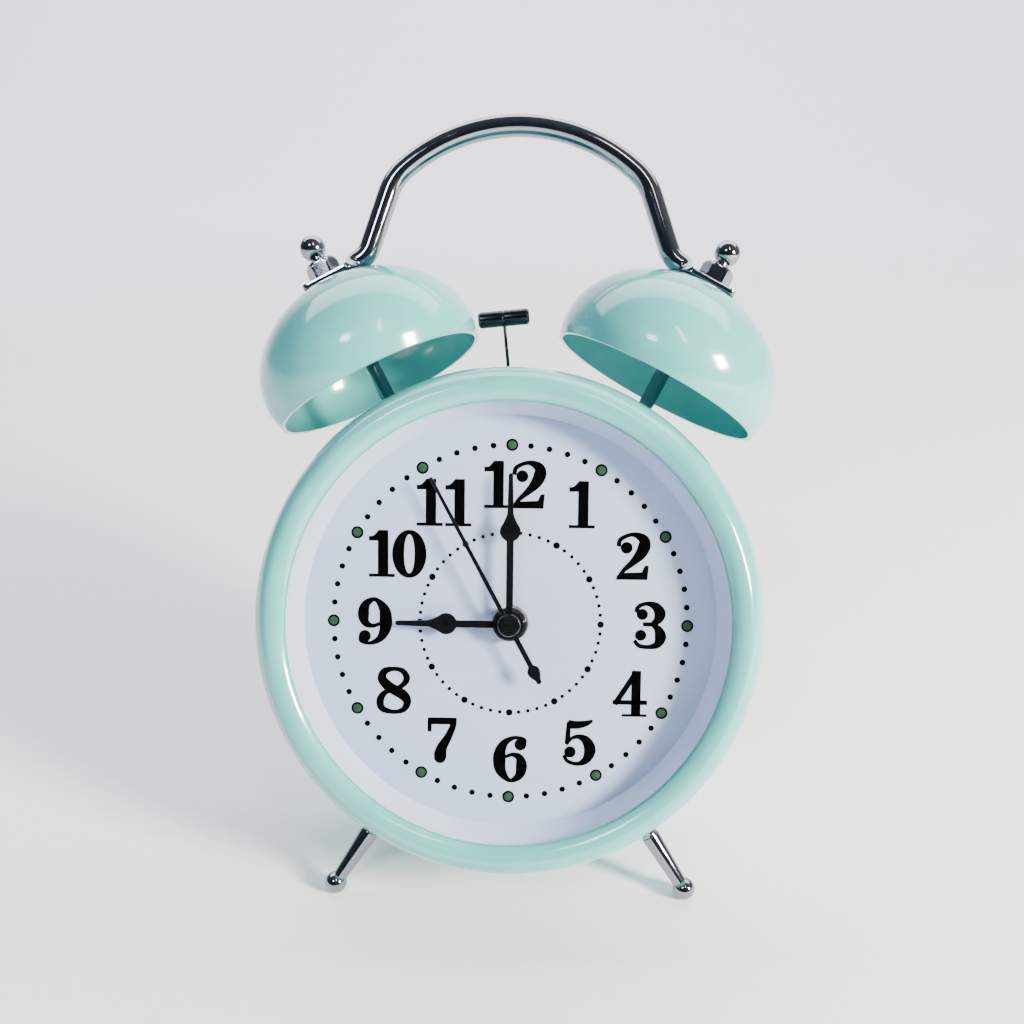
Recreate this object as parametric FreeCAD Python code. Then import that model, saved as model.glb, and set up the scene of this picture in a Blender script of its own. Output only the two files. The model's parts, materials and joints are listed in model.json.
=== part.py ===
"""Twin-bell alarm clock: pressed-steel drum on two ball feet, two bells under a rod handle,
a hammer between them, and a quartz movement with its alarm train inside.

Everything is drawn in the dial's own frame: origin at the dial's centre on its front face,
x to the right, y towards the back, z up. At the end the whole clock is leaned back about X
until its ball feet and the lower rear edge of the drum stand on z = 0.
Run it in the folder that is to hold parts/.
"""

import FreeCAD
import Part

import math
import os

# ---------------------------------------------------------------- driving sizes, millimetres
DRUM_R = 54.0  # outside radius of the case drum
DRUM_WALL = 1.2
DRUM_BACK_Y = 42.0  # plane of the flat rear rim
REAR_RIM_WIDTH = 4.5
FRONT_RIM_WIDTH = 6.0

DIAL_T = 0.6
DIAL_EDGE_GAP = 0.8  # dial and lens stop this far inside the drum and the bezel

BEZEL_STAND = 2.0  # widest radius of the bezel, past the drum
BEZEL_SHOULDER = 4.9  # from the widest circle in to the crest
BEZEL_LIP = 3.2  # from the crest in to the opening
BEZEL_CREST_Y = -9.6
BEZEL_LIP_DROP = 1.4  # how far the inner lip lies behind the crest
BEZEL_WALL = 1.1
BEZEL_SKIRT_Y = 7.0
BEZEL_SKIRT_TAPER = 0.7
BEZEL_FIT = 0.05

LENS_IN = 4.0  # radii of the lens and the white sight ring, inside the drum's
RING_FOOT_IN = 8.3
RING_TOP_IN = 5.7
LENS_T = 1.1
RING_WALL = 0.9

BELL_R = 27.0  # widest radius of a bell
BELL_RIM_IN = 1.0  # the rim is this much narrower
BELL_SKIRT_H = 5.1  # from the rim up to the widest circle
BELL_DOME_H = 21.4  # from the widest circle to the apex
BELL_WALL = 1.0
BELL_TILT = 27.5  # degrees outward from upright
BELL_STAND = 9.8  # centre of the mouth, out from the drum
BELL_GAP_HALF = 9.7  # half the gap between the two rims
BELL_CLEARANCE = 0.27  # handle's rod above the dome, and washer under the crown
TOP_Y = 22.3  # plane of the bells, their posts, the handle and the hammer

POST_R = 1.8
POST_STUD_R = 1.5  # threaded ends
POST_COLLAR_R = 3.2
POST_COLLAR_H = 2.0
POST_CHAMFER = 0.5
WASHER_R = 4.2
WASHER_T = 0.8
WASHER_FIT = 0.08
POST_STUD_PAST = 1.2  # stud past its nut inside the drum
STUD_CLEARANCE = 0.1

HANDLE_ROD_R = 2.5
HANDLE_RISE = 36.3  # rod's top above the middle of the tabs
HANDLE_TUCK = 3.4  # top bend's radius, less than the reach to a post
HANDLE_CORNER_R = 13.0
HANDLE_LEG_LEAN = 19.0  # degrees from upright
HANDLE_HEEL_R = 6.0
TAB_T = 1.4
TAB_WIDTH = 9.4
TAB_REACH = 6.0  # from the post's axis out to the end
TAB_CORNER = 1.2
TAB_BLADE = 5.3  # from the post's axis in to where the tab meets the throat
TAB_HEEL = 10.8  # from the post's axis to the bend

NUT_FLATS = 7.0
NUT_H = 4.3
NUT_NECK_R = 1.7
NUT_BALL_R = 3.05
NUT_BALL_UP = 3.4  # ball's centre above the hexagon
NUT_BEVEL = 1.8
NUT_BORE_STOP = 1.0  # nut's solid end over the post

LEG_Y = 10.4
LEG_ANGLE = 33.0  # degrees from straight down
LEG_L = 21.8  # from the drum to the ball's centre
LEG_BALL_R = 2.6
LEG_TOP_R = 2.55
LEG_GROOVE_R = 1.9
LEG_GROOVE_AT = 6.0  # below the drum
LEG_GROOVE_W = 1.2
LEG_GROOVE_EDGE = 0.3
LEG_TIP_R = 1.65
INNER_NUT_FLATS = 5.5
INNER_NUT_H = 2.0

HAMMER_PIVOT_IN = 17.2  # pivot's depth inside the drum
HAMMER_ARM = 34.0
HAMMER_REST_LEAN = 6.0  # degrees towards the left bell
HAMMER_HEAD_R = 1.9
HAMMER_HEAD_L = 12.2
HAMMER_HEAD_CHAMFER = 0.5
HAMMER_WIRE_R = 0.4
HAMMER_SLOT_X = 3.4  # half length of the slot in the drum
HAMMER_SLOT_Y = 1.6
PIVOT_R = 0.8
PIVOT_END = 0.6  # pin past the bracket's cheeks
RUNNING_FIT = 0.05
HUB_R = 2.6
HUB_HALF = 3.0
ARMATURE_REACH = 12.0
ARMATURE_HALF_Y = 2.4
ARMATURE_T = 1.0
BRACKET_X = 13.5
BRACKET_T = 1.0
BRACKET_SET_BACK = 1.4  # from the module's front
CHEEK_HALF_X = 4.5
CHEEK_HALF_Y = 5.2
MAGNET_X = 8.5
MAGNET_CORE_R = 1.6
MAGNET_COIL_R = 3.6
MAGNET_COIL_SHORT = 0.5  # coil's end below the core's
MAGNET_TOP = 4.5  # below the pivot

MODULE_HALF = 28.0  # half side of the square movement module
MODULE_FRONT_Y = DIAL_T
MODULE_SPLIT_Y = 9.0
MODULE_BACK_Y = 16.5
MODULE_WALL = 1.3
BRIDGE_Y = 11.2
BRIDGE_T = 0.6
BUSH_WALL = 0.5
BUSH_FRONT_Y = -1.6
DIAL_HOLE_FIT = 0.1
BUSH_NUT_FLATS = 6.4
BUSH_NUT_T = 1.2

SECONDS_ARBOR_R = 0.5
CANNON_R = 1.1
HOUR_PIPE_R = 1.8
ALARM_PIPE_R = 2.5
HAND_T = 0.3
HAND_STEP = 0.8  # from one hand's front face to the next
ALARM_HAND_Y = -2.4  # front faces
HOUR_HAND_Y = ALARM_HAND_Y - HAND_STEP
MINUTE_HAND_Y = HOUR_HAND_Y - HAND_STEP
SECOND_HAND_Y = MINUTE_HAND_Y - HAND_STEP
PIPE_STANDOFF = 0.1  # a pipe's end past the front of its hand
HUB_CAP_R = 2.55
HUB_CAP_H = 0.8
MINUTE_HAND = dict(length=33.0, bulb_at=20.4, bulb_r=2.1, stem=1.3, tip=0.8, hub_r=3.3)
HOUR_HAND = dict(length=25.1, bulb_at=13.9, bulb_r=2.3, stem=1.4, tip=0.9, hub_r=3.6)
ALARM_HAND = dict(length=21.0, width=0.7, hub_r=3.8)
SECOND_HAND = dict(length=36.1, tail=14.5, width=0.5, hub_r=1.6, weight_r=1.3)
BULB_PEAK = 2.6  # bulb's point above its middle, in bulb radii
MINUTE_DIRECTION = 0.0  # clockwise from 12
HOUR_DIRECTION = 270.0
ALARM_HAND_DIRECTION = 270.0
SECOND_DIRECTION = -28.6

ADDENDUM = 0.75  # tooth sizes in modules
DEDENDUM = 1.05
TOOTH_WIDTH = 1.15  # at the pitch circle
TOOTH_TIP_WIDTH = 0.55
GEAR_T = 1.0
FINE_GEAR_T = 0.6

MOTION_DIRECTION = 180.0
MOTION_MODULE = 0.5
CANNON_TEETH = 10
MOTION_WHEEL_TEETH = 30
MOTION_PINION_TEETH = 10
HOUR_TEETH = 40
SET_PINION_TEETH = 12
SET_DIRECTION = 215.0
ALARM_MODULE = 0.4
ALARM_TEETH = 40
ALARM_PINION_TEETH = 20
ALARM_DIRECTION = -25.0
THIRD_AXIS = 10.8, 60.0  # distance from the centre and direction in degrees
SECONDS_PINION_TEETH = 8
THIRD_TEETH = 64
THIRD_PINION_TEETH = 8
CENTRE_TEETH = 60
STEP_DIRECTION = 120.0
STEP_MODULE = 0.3
SECONDS_TEETH = 30
STEP_PINION_TEETH = 10
ROTOR_DIRECTION = 150.0
ROTOR_MODULE = 0.16
STEP_TEETH = 60
ROTOR_TEETH = 6
ALARM_LAYER = 3.0  # front faces of the gear layers
HOUR_LAYER = 4.6
CANNON_LAYER = 6.2
CENTRE_LAYER = 8.4
THIRD_LAYER = 9.9
SECONDS_LAYER = 12.2
STEP_LAYER = 13.6
ARBOR_R = 0.4
ROTOR_ARBOR_R = 0.25
ARBOR_END = 0.5  # arbors stop this far inside the module's back
BEARING_SKIN = 0.3
STUD_R = 0.8
STUD_END = 0.6  # stud past its wheel
KNOB_SHAFT_FRONT = 2.4
COIL_AT = -17.0, 14.3  # middle of the drive coil
COIL_HALF = 3.4, 2.4, 6.0
COIL_ROOM = 0.4
STATOR_BAR_HALF = 1.5
STATOR_X = -11.5, -4.75
STATOR_Z = 3.5, 25.0
STATOR_T = 0.8
STATOR_SET_BACK = 0.1
ROTOR_R = 1.8
ROTOR_GAP = 0.4
BOARD_LOW = 7.0, 3.0  # corners of the circuit board, x and z
BOARD_HIGH = 25.0, 25.0
BOARD_T = 1.0
BOARD_SET_BACK = 0.6
CHIP_T = 1.1

COVER_WALL = 1.2
COVER_WELL_IN = 10.0  # radii of the cover's well and the screws' circle, inside the drum's
SCREW_CIRCLE_IN = 7.2
COVER_FLANGE_IN = 2.4  # front of the flange, inside the rear rim
COVER_FIT = 0.3
SCREW_ANGLES = 90.0, 210.0, 330.0
SCREW_R = 1.25
SCREW_HEAD_R = 2.1
SCREW_HEAD_H = 1.0
SCREW_L = 5.0
LUG_WIDTH = 9.0
LUG_T = 1.2
LUG_EAR = 1.9  # lug's metal round the screw
SCREW_SLOT_HALF = 0.3

CELL_R = 7.1
CELL_L = 48.5
CELL_NUB_L = 1.1
CELL_NUB_R = 2.75
CELL_Z = -25.0
CELL_ROOM = 0.4
POCKET_GAP = 0.3  # pocket's outside to the module
CONTACT_T = 0.4
CONTACT_HALF = 4.5, 5.5
CONTACT_BUMP_R = 2.0
CONTACT_GAP = 1.2
DOOR_FIT = 0.2

KNOB_R = 7.0
ALARM_KNOB_R = 5.5
KNOB_H = 5.6
KNOB_FLOOR_GAP = 0.8
KNOB_FLUTES = 16
KNOB_FLUTE_R = 0.6
KNOB_CAP_T = 1.2
KNOB_CHAMFER = 0.5
SHAFT_R = 1.2

SWITCH_AT = 21.0, 20.0  # x and z where the alarm switch rests
SWITCH_TRAVEL = 4.0
SWITCH_L = 5.0
SWITCH_W = 3.2
SWITCH_H = 4.2
SWITCH_FIT = 0.3
SWITCH_SHOE_HALF = 4.5, 3.4
SWITCH_SHOE_T = 1.0
DOOR_RIBS = -3.4, -1.4, 0.6, 2.6
DOOR_RIB_HALF = 4.0

# ---------------------------------------------------------------- sizes that follow from them
DRUM_INSIDE_R = DRUM_R - DRUM_WALL
BEZEL_SIDE_R = DRUM_R + BEZEL_STAND
BEZEL_CREST_R = BEZEL_SIDE_R - BEZEL_SHOULDER
BEZEL_OPENING_R = BEZEL_CREST_R - BEZEL_LIP
LENS_R = DRUM_R - LENS_IN
RING_FOOT_R = DRUM_R - RING_FOOT_IN
RING_TOP_R = DRUM_R - RING_TOP_IN
RING_TOP_Y = BEZEL_CREST_Y + BEZEL_LIP_DROP + BEZEL_WALL + LENS_T
BELL_RIM_R = BELL_R - BELL_RIM_IN
BELL_H = BELL_SKIRT_H + BELL_DOME_H
BELL_X = BELL_GAP_HALF + BELL_RIM_R * math.cos(math.radians(BELL_TILT))
BELL_Z = math.sqrt((DRUM_R + BELL_STAND) ** 2 - BELL_X ** 2)
TAB_TOP_H = BELL_H + TAB_T
LEG_BALL_AT = DRUM_R + LEG_L
HAMMER_PIVOT_Z = DRUM_R - HAMMER_PIVOT_IN
BUSH_R = ALARM_PIPE_R + BUSH_WALL
MOTION_AXIS = (CANNON_TEETH + MOTION_WHEEL_TEETH) * MOTION_MODULE / 2, MOTION_DIRECTION
HOUR_MODULE = 2 * MOTION_AXIS[0] / (HOUR_TEETH + MOTION_PINION_TEETH)
THIRD_MODULE = 2 * THIRD_AXIS[0] / (THIRD_TEETH + SECONDS_PINION_TEETH)
CENTRE_MODULE = 2 * THIRD_AXIS[0] / (CENTRE_TEETH + THIRD_PINION_TEETH)
COVER_WELL_R = DRUM_R - COVER_WELL_IN
SCREW_CIRCLE_R = DRUM_R - SCREW_CIRCLE_IN
COVER_FLANGE_FRONT_Y = DRUM_BACK_Y - COVER_FLANGE_IN
COVER_FLOOR_Y = MODULE_BACK_Y + POCKET_GAP + COVER_WALL + 2 * (CELL_R + CELL_ROOM)
CELL_Y = COVER_FLOOR_Y - CELL_ROOM - CELL_R
POCKET_X = CELL_L / 2 + CONTACT_GAP + CONTACT_T
POCKET_Z = CELL_R + CELL_ROOM

X = FreeCAD.Vector(1, 0, 0)
Y = FreeCAD.Vector(0, 1, 0)
Z = FreeCAD.Vector(0, 0, 1)


# ---------------------------------------------------------------- shared shapes
def point(x, y, z):
    return FreeCAD.Vector(x, y, z)


def polar(distance, direction, start=(0.0, 0.0)):
    """The (x, z) place at a distance and a direction from a start, seen from the front."""
    angle = math.radians(direction)
    return start[0] + distance * math.cos(angle), start[1] + distance * math.sin(angle)


def box(low, high):
    size = [b - a for a, b in zip(low, high)]
    return Part.makeBox(*size, point(*low))


def disc(radius, front, back, at=(0.0, 0.0)):
    """A cylinder along Y."""
    return Part.makeCylinder(radius, back - front, point(at[0], front, at[1]), Y)


def tube(radius, bore, front, back, at=(0.0, 0.0)):
    return disc(radius, front, back, at).cut(disc(bore, front - 1, back + 1, at))


def hexagon(flats, low, high):
    """A hexagonal prism along Z, with flats facing the front and the back."""
    radius = flats / math.sqrt(3)
    corners = [
        point(radius * math.cos(math.radians(a)), radius * math.sin(math.radians(a)), low)
        for a in range(0, 361, 60)
    ]
    return Part.Face(Part.makePolygon(corners)).extrude(Z * (high - low))


def turned_y(outline):
    """A ring turned about the Y axis from a closed outline of (radius, y) edges or points."""
    corners = [point(r, y, 0) for r, y in outline]
    return Part.Face(Part.makePolygon(corners + corners[:1])).revolve(point(0, 0, 0), Y, 360)


def turned_z(outline):
    """A solid turned about the Z axis from a closed outline of (radius, height) points."""
    corners = [point(r, 0, h) for r, h in outline]
    return Part.Face(Part.makePolygon(corners + corners[:1])).revolve(point(0, 0, 0), Z, 360)


def arc(start, middle, end):
    return Part.Arc(start, middle, end).toShape()


def line(start, end):
    return Part.makeLine(start, end)


def mirrored(shape):
    return shape.mirror(point(0, 0, 0), X)


def placed(shape, x, z, tilt):
    """Stand a shape that was turned about Z on the plane of the bells, tilted outward."""
    shape = shape.copy()
    shape.rotate(point(0, 0, 0), Y, tilt)
    shape.translate(point(x, TOP_Y, z))
    return shape


def on_bell_axis(shape):
    """Place a shape whose height is measured from the right bell's mouth."""
    return placed(shape, BELL_X, BELL_Z, BELL_TILT)


def gear(teeth, module, front, thickness, bore, at=(0.0, 0.0), phase=0.0):
    """A spur wheel with straight-flanked teeth, one of them centred on the phase direction."""
    pitch_r = teeth * module / 2
    root_r = pitch_r - DEDENDUM * module
    tip_r = pitch_r + ADDENDUM * module
    half_root = (2 * TOOTH_WIDTH - TOOTH_TIP_WIDTH) * module / 2 / root_r
    half_root = min(half_root, 0.8 * math.pi / teeth)
    half_tip = TOOTH_TIP_WIDTH * module / 2 / tip_r
    corners = []
    for tooth in range(teeth):
        middle = math.radians(phase) + 2 * math.pi * tooth / teeth
        for radius, offset in (
            (root_r, -half_root), (tip_r, -half_tip), (tip_r, half_tip), (root_r, half_root)
        ):
            x, z = polar(radius, math.degrees(middle + offset), at)
            corners.append(point(x, front, z))
    wheel = Part.Face(Part.makePolygon(corners + corners[:1])).extrude(Y * thickness)
    return wheel.cut(disc(bore, front - 1, front + thickness + 1, at)) if bore else wheel


def meshed(phase, teeth, direction, other_teeth):
    """The phase that puts another wheel in mesh, in the direction from the first wheel to it."""
    return direction + 180 + (180 - (phase - direction) * teeth) / other_teeth


def hand(length, bulb_at, bulb_r, stem, tip, hub_r, bore, front, direction):
    """A flat spade hand: round hub, thin stem, teardrop, and a long narrow tip."""
    def strip(points):
        corners = [point(x, front, z) for x, z in points]
        return Part.Face(Part.makePolygon(corners + corners[:1])).extrude(Y * HAND_T)

    blade = strip([(-stem / 2, 0), (stem / 2, 0), (stem / 2, bulb_at), (-stem / 2, bulb_at)])
    blade = blade.fuse(disc(bulb_r, front, front + HAND_T, (0, bulb_at)))
    peak = bulb_r * BULB_PEAK
    drop = math.asin(bulb_r / peak)
    side = bulb_r * math.cos(drop), bulb_at + bulb_r * math.sin(drop)
    blade = blade.fuse(strip([side, (0, bulb_at + peak), (-side[0], side[1])]))
    tip_corners = [(stem / 2, bulb_at), (tip / 2, length), (-tip / 2, length), (-stem / 2, bulb_at)]
    blade = blade.fuse(strip(tip_corners))
    blade = blade.fuse(disc(hub_r, front, front + HAND_T))
    blade = blade.cut(disc(bore, front - 1, front + 1)).removeSplitter()
    blade.rotate(point(0, 0, 0), Y, direction)
    return blade


# ---------------------------------------------------------------- case
def case_drum():
    """Drum with an inward rim at each end, pierced for posts, legs and the hammer's wire."""
    drum = turned_y([
        (DRUM_R, DIAL_T),
        (DRUM_R, DRUM_BACK_Y),
        (DRUM_R - REAR_RIM_WIDTH, DRUM_BACK_Y),
        (DRUM_R - REAR_RIM_WIDTH, DRUM_BACK_Y - DRUM_WALL),
        (DRUM_INSIDE_R, DRUM_BACK_Y - DRUM_WALL),
        (DRUM_INSIDE_R, DIAL_T + DRUM_WALL),
        (DRUM_R - FRONT_RIM_WIDTH, DIAL_T + DRUM_WALL),
        (DRUM_R - FRONT_RIM_WIDTH, DIAL_T),
    ])
    hole_r = POST_STUD_R + STUD_CLEARANCE
    post_hole = on_bell_axis(Part.makeCylinder(hole_r, DRUM_R / 2, point(0, 0, -DRUM_R / 2)))
    drum = drum.cut(post_hole).cut(mirrored(post_hole))
    for side in (1, -1):
        drum = drum.cut(leg_axis(Part.makeCylinder(hole_r, DRUM_R, point(0, 0, DRUM_R / 2)), side))
    slot_low = (-HAMMER_SLOT_X, TOP_Y - HAMMER_SLOT_Y, HAMMER_PIVOT_Z)
    slot = box(slot_low, (HAMMER_SLOT_X, TOP_Y + HAMMER_SLOT_Y, DRUM_R + 1))
    return drum.cut(slot)


def front_bezel():
    """Rolled bezel: a skirt over the drum, a round shoulder to the crest, and an inner lip."""
    skirt_r = DRUM_R + BEZEL_FIT
    lip_y = BEZEL_CREST_Y + BEZEL_LIP_DROP
    side_y = 0.0
    bend = math.sqrt(0.5)
    wide, deep = BEZEL_SIDE_R - BEZEL_CREST_R, side_y - BEZEL_CREST_Y

    def shoulder(grow):
        middle = point(BEZEL_CREST_R + (wide + grow) * bend, side_y - (deep + grow) * bend, 0)
        return point(BEZEL_SIDE_R + grow, side_y, 0), middle, point(BEZEL_CREST_R, BEZEL_CREST_Y - grow, 0)

    outer = shoulder(0.0)
    inner = shoulder(-BEZEL_WALL)
    lip_middle = point((BEZEL_CREST_R + BEZEL_OPENING_R) / 2, BEZEL_CREST_Y + BEZEL_LIP_DROP / 4, 0)
    skirt_end = point(BEZEL_SIDE_R - BEZEL_SKIRT_TAPER, BEZEL_SKIRT_Y, 0)
    skirt_inner = point(skirt_r, BEZEL_SKIRT_Y, 0)
    drum_front = point(skirt_r, DIAL_T, 0)
    lip_out = point(BEZEL_OPENING_R, lip_y, 0)
    lip_in = point(BEZEL_OPENING_R, lip_y + BEZEL_WALL, 0)
    edges = [
        line(skirt_end, outer[0]),
        arc(*outer),
        arc(outer[2], lip_middle, lip_out),
        line(lip_out, lip_in),
        line(lip_in, point(LENS_R + BEZEL_FIT, lip_y + BEZEL_WALL, 0)),
        line(point(LENS_R + BEZEL_FIT, lip_y + BEZEL_WALL, 0), inner[2]),
        arc(*reversed(inner)),
        line(inner[0], drum_front),
        line(drum_front, skirt_inner),
        line(skirt_inner, skirt_end),
    ]
    return Part.Face(Part.Wire(edges)).revolve(point(0, 0, 0), Y, 360)


def front_lens():
    return disc(LENS_R, RING_TOP_Y - LENS_T, RING_TOP_Y)


def dial_ring():
    """White sight ring: a cone from the dial up to a flange that the lens lies on."""
    slope = (RING_TOP_R - RING_FOOT_R) / RING_TOP_Y
    under = RING_TOP_Y + RING_WALL
    outer_foot_r = RING_FOOT_R + RING_WALL
    return turned_y([
        (RING_FOOT_R, 0),
        (outer_foot_r, 0),
        (outer_foot_r + slope * under, under),
        (LENS_R, under),
        (LENS_R, RING_TOP_Y),
        (RING_TOP_R, RING_TOP_Y),
    ])


def dial_plate():
    return tube(DRUM_R - DIAL_EDGE_GAP, BUSH_R + DIAL_HOLE_FIT, 0, DIAL_T)


def rear_cover():
    """Moulded cover: screwed flange, recessed floor with knob holes, battery pocket, switch slot."""
    flange_back = COVER_FLANGE_FRONT_Y + COVER_WALL
    floor_back = COVER_FLOOR_Y + COVER_WALL
    flange_r = DRUM_R - REAR_RIM_WIDTH - COVER_FIT
    cover = turned_y([
        (0, COVER_FLOOR_Y),
        (COVER_WELL_R + COVER_WALL, COVER_FLOOR_Y),
        (COVER_WELL_R + COVER_WALL, COVER_FLANGE_FRONT_Y),
        (flange_r, COVER_FLANGE_FRONT_Y),
        (flange_r, flange_back),
        (COVER_WELL_R, flange_back),
        (COVER_WELL_R, floor_back),
        (0, floor_back),
    ])
    pocket_front = CELL_Y - CELL_R - CELL_ROOM
    low = (-POCKET_X - COVER_WALL, pocket_front - COVER_WALL, CELL_Z - POCKET_Z - COVER_WALL)
    high = (POCKET_X + COVER_WALL, COVER_FLOOR_Y, CELL_Z + POCKET_Z + COVER_WALL)
    cover = cover.fuse(box(low, high))
    inside = box(
        (-POCKET_X, pocket_front, CELL_Z - POCKET_Z), (POCKET_X, floor_back + 1, CELL_Z + POCKET_Z)
    )
    cover = cover.cut(inside)
    for place in (time_axis(), alarm_axis()):
        cover = cover.cut(disc(SHAFT_R + RUNNING_FIT, COVER_FLOOR_Y - 1, floor_back + 1, place))
    slot_l = SWITCH_L + SWITCH_TRAVEL
    cover = cover.cut(switch_box(slot_l, SWITCH_W, COVER_FLOOR_Y - 1, floor_back + 1, SWITCH_FIT))
    for angle in SCREW_ANGLES:
        place = polar(SCREW_CIRCLE_R, angle)
        cover = cover.cut(disc(SCREW_R + STUD_CLEARANCE, COVER_FLANGE_FRONT_Y - 1, flange_back + 1, place))
    return cover.removeSplitter()


def case_lugs():
    """Steel lugs welded inside the drum, each with the hole that a cover screw bites into."""
    lugs = []
    for angle in SCREW_ANGLES:
        low = (-LUG_WIDTH / 2, COVER_FLANGE_FRONT_Y - LUG_T, SCREW_CIRCLE_R - SCREW_R)
        lug = box(low, (LUG_WIDTH / 2, COVER_FLANGE_FRONT_Y, DRUM_R))
        lug = lug.fuse(disc(LUG_EAR, low[1], COVER_FLANGE_FRONT_Y, (0, SCREW_CIRCLE_R)))
        lug = lug.common(disc(DRUM_INSIDE_R, 0, DRUM_BACK_Y))
        lug = lug.cut(disc(SCREW_R, 0, DRUM_BACK_Y, (0, SCREW_CIRCLE_R)))
        lug = lug.cut(disc(COVER_WELL_R + COVER_WALL + COVER_FIT, 0, DRUM_BACK_Y))
        lug.rotate(point(0, 0, 0), Y, 90 - angle)
        lugs.append(lug)
    return Part.makeCompound(lugs)


def rear_screws():
    head_y = COVER_FLANGE_FRONT_Y + COVER_WALL
    screws = []
    for angle in SCREW_ANGLES:
        place = polar(SCREW_CIRCLE_R, angle)
        screw = disc(SCREW_HEAD_R, head_y, head_y + SCREW_HEAD_H, place)
        screw = screw.fuse(disc(SCREW_R, head_y - SCREW_L, head_y, place)).removeSplitter()
        slot_low = (-SCREW_HEAD_R, head_y + SCREW_HEAD_H / 2, -SCREW_SLOT_HALF)
        slot = box(slot_low, (SCREW_HEAD_R, head_y + SCREW_HEAD_H + 1, SCREW_SLOT_HALF))
        slot.translate(point(place[0], 0, place[1]))
        screws.append(screw.cut(slot))
    return Part.makeCompound(screws)


# ---------------------------------------------------------------- bells, handle, legs
def bell():
    """Spun bell about Z, mouth at height 0: short skirt, then a quarter ellipse to the apex."""
    def wall(inset):
        skirt = arc(
            point(BELL_RIM_R - inset, 0, 0),
            point(BELL_R - BELL_RIM_IN / 4 - inset, 0, BELL_SKIRT_H / 2),
            point(BELL_R - inset, 0, BELL_SKIRT_H),
        )
        centre = point(0, 0, BELL_SKIRT_H)
        ends = point(BELL_R - inset, 0, BELL_SKIRT_H), point(0, 0, BELL_H - inset)
        ellipse = Part.Ellipse(ends[0], ends[1], centre)
        dome = Part.ArcOfEllipse(ellipse, 0, math.pi / 2).toShape()
        return skirt, dome, ends[1]

    outer_skirt, outer_dome, outer_apex = wall(0.0)
    inner_skirt, inner_dome, inner_apex = wall(BELL_WALL)
    rim = line(point(BELL_RIM_R - BELL_WALL, 0, 0), point(BELL_RIM_R, 0, 0))
    edges = [rim, outer_skirt, outer_dome, line(outer_apex, inner_apex), inner_dome, inner_skirt]
    shell = Part.Face(Part.Wire(Part.__sortEdges__(edges))).revolve(point(0, 0, 0), Z, 360)
    return shell.cut(Part.makeCylinder(POST_STUD_R + STUD_CLEARANCE, BELL_H + 1))


def crown_drop(distance, inset=0.0):
    """How far the dome, or its inside, has fallen below the crown at a distance from its axis."""
    return (BELL_DOME_H - inset) * (1 - math.sqrt(1 - (distance / (BELL_R - inset)) ** 2))


def washer_top():
    return BELL_H - BELL_WALL - crown_drop(WASHER_R, BELL_WALL) - WASHER_FIT


def bell_washer():
    washer = Part.makeCylinder(WASHER_R, WASHER_T, point(0, 0, washer_top() - WASHER_T))
    return washer.cut(Part.makeCylinder(POST_STUD_R + STUD_CLEARANCE, BELL_H))


def bell_post():
    """Turned post: stud through the drum, collar on it, shank, and a stud up into the nut."""
    shoulder = washer_top() - WASHER_T
    foot = -BELL_STAND
    stud_end = foot - DRUM_WALL - INNER_NUT_H - POST_STUD_PAST
    top = TAB_TOP_H + NUT_H - NUT_BORE_STOP
    post = turned_z([
        (0, stud_end),
        (POST_STUD_R, stud_end),
        (POST_STUD_R, foot - 1),
        (POST_COLLAR_R, foot - 1),
        (POST_COLLAR_R, foot + POST_COLLAR_H - POST_CHAMFER),
        (POST_COLLAR_R - POST_CHAMFER, foot + POST_COLLAR_H),
        (POST_R, foot + POST_COLLAR_H),
        (POST_R, shoulder),
        (POST_STUD_R, shoulder),
        (POST_STUD_R, top),
        (0, top),
    ])
    post = on_bell_axis(post)
    wall = tube(DRUM_R, DRUM_INSIDE_R, 0, DRUM_BACK_Y)
    hole = on_bell_axis(Part.makeCylinder(POST_STUD_R + STUD_CLEARANCE, 30, point(0, 0, -20)))
    return post.cut(wall.cut(hole))


def inner_nut(height):
    nut = hexagon(INNER_NUT_FLATS, height - INNER_NUT_H, height + 1.5)
    return nut.cut(Part.makeCylinder(POST_STUD_R, 200, point(0, 0, -100)))


def post_nut():
    """Nut inside the drum, its top face shaped to the drum's curve."""
    return on_bell_axis(inner_nut(-BELL_STAND - DRUM_WALL)).common(disc(DRUM_INSIDE_R, 0, DRUM_BACK_Y))


def ball_nut():
    """Hexagon nut with a short neck and a ball on top."""
    low = TAB_TOP_H
    top = low + NUT_H
    nut = hexagon(NUT_FLATS, low, top)
    shoulder = top - NUT_BEVEL
    bevel = Part.makeCone(NUT_FLATS / 2 + NUT_BEVEL, NUT_FLATS / 2, NUT_BEVEL, point(0, 0, shoulder))
    nut = nut.common(Part.makeCylinder(NUT_FLATS, NUT_H - NUT_BEVEL, point(0, 0, low)).fuse(bevel))
    nut = nut.fuse(Part.makeCylinder(NUT_NECK_R, NUT_BALL_UP, point(0, 0, top)))
    nut = nut.fuse(Part.makeSphere(NUT_BALL_R, point(0, 0, top + NUT_BALL_UP)))
    return nut.cut(Part.makeCylinder(POST_STUD_R, NUT_H - NUT_BORE_STOP, point(0, 0, low)))


def tab_frame():
    """Place and directions of the handle's right tab: post axis point, outward axis, inward run."""
    tilt = math.radians(BELL_TILT)
    up = point(math.sin(tilt), 0, math.cos(tilt))
    inward = point(-math.cos(tilt), 0, math.sin(tilt))
    return point(BELL_X, TOP_Y, BELL_Z) + up * (BELL_H + TAB_T / 2), up, inward


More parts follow.
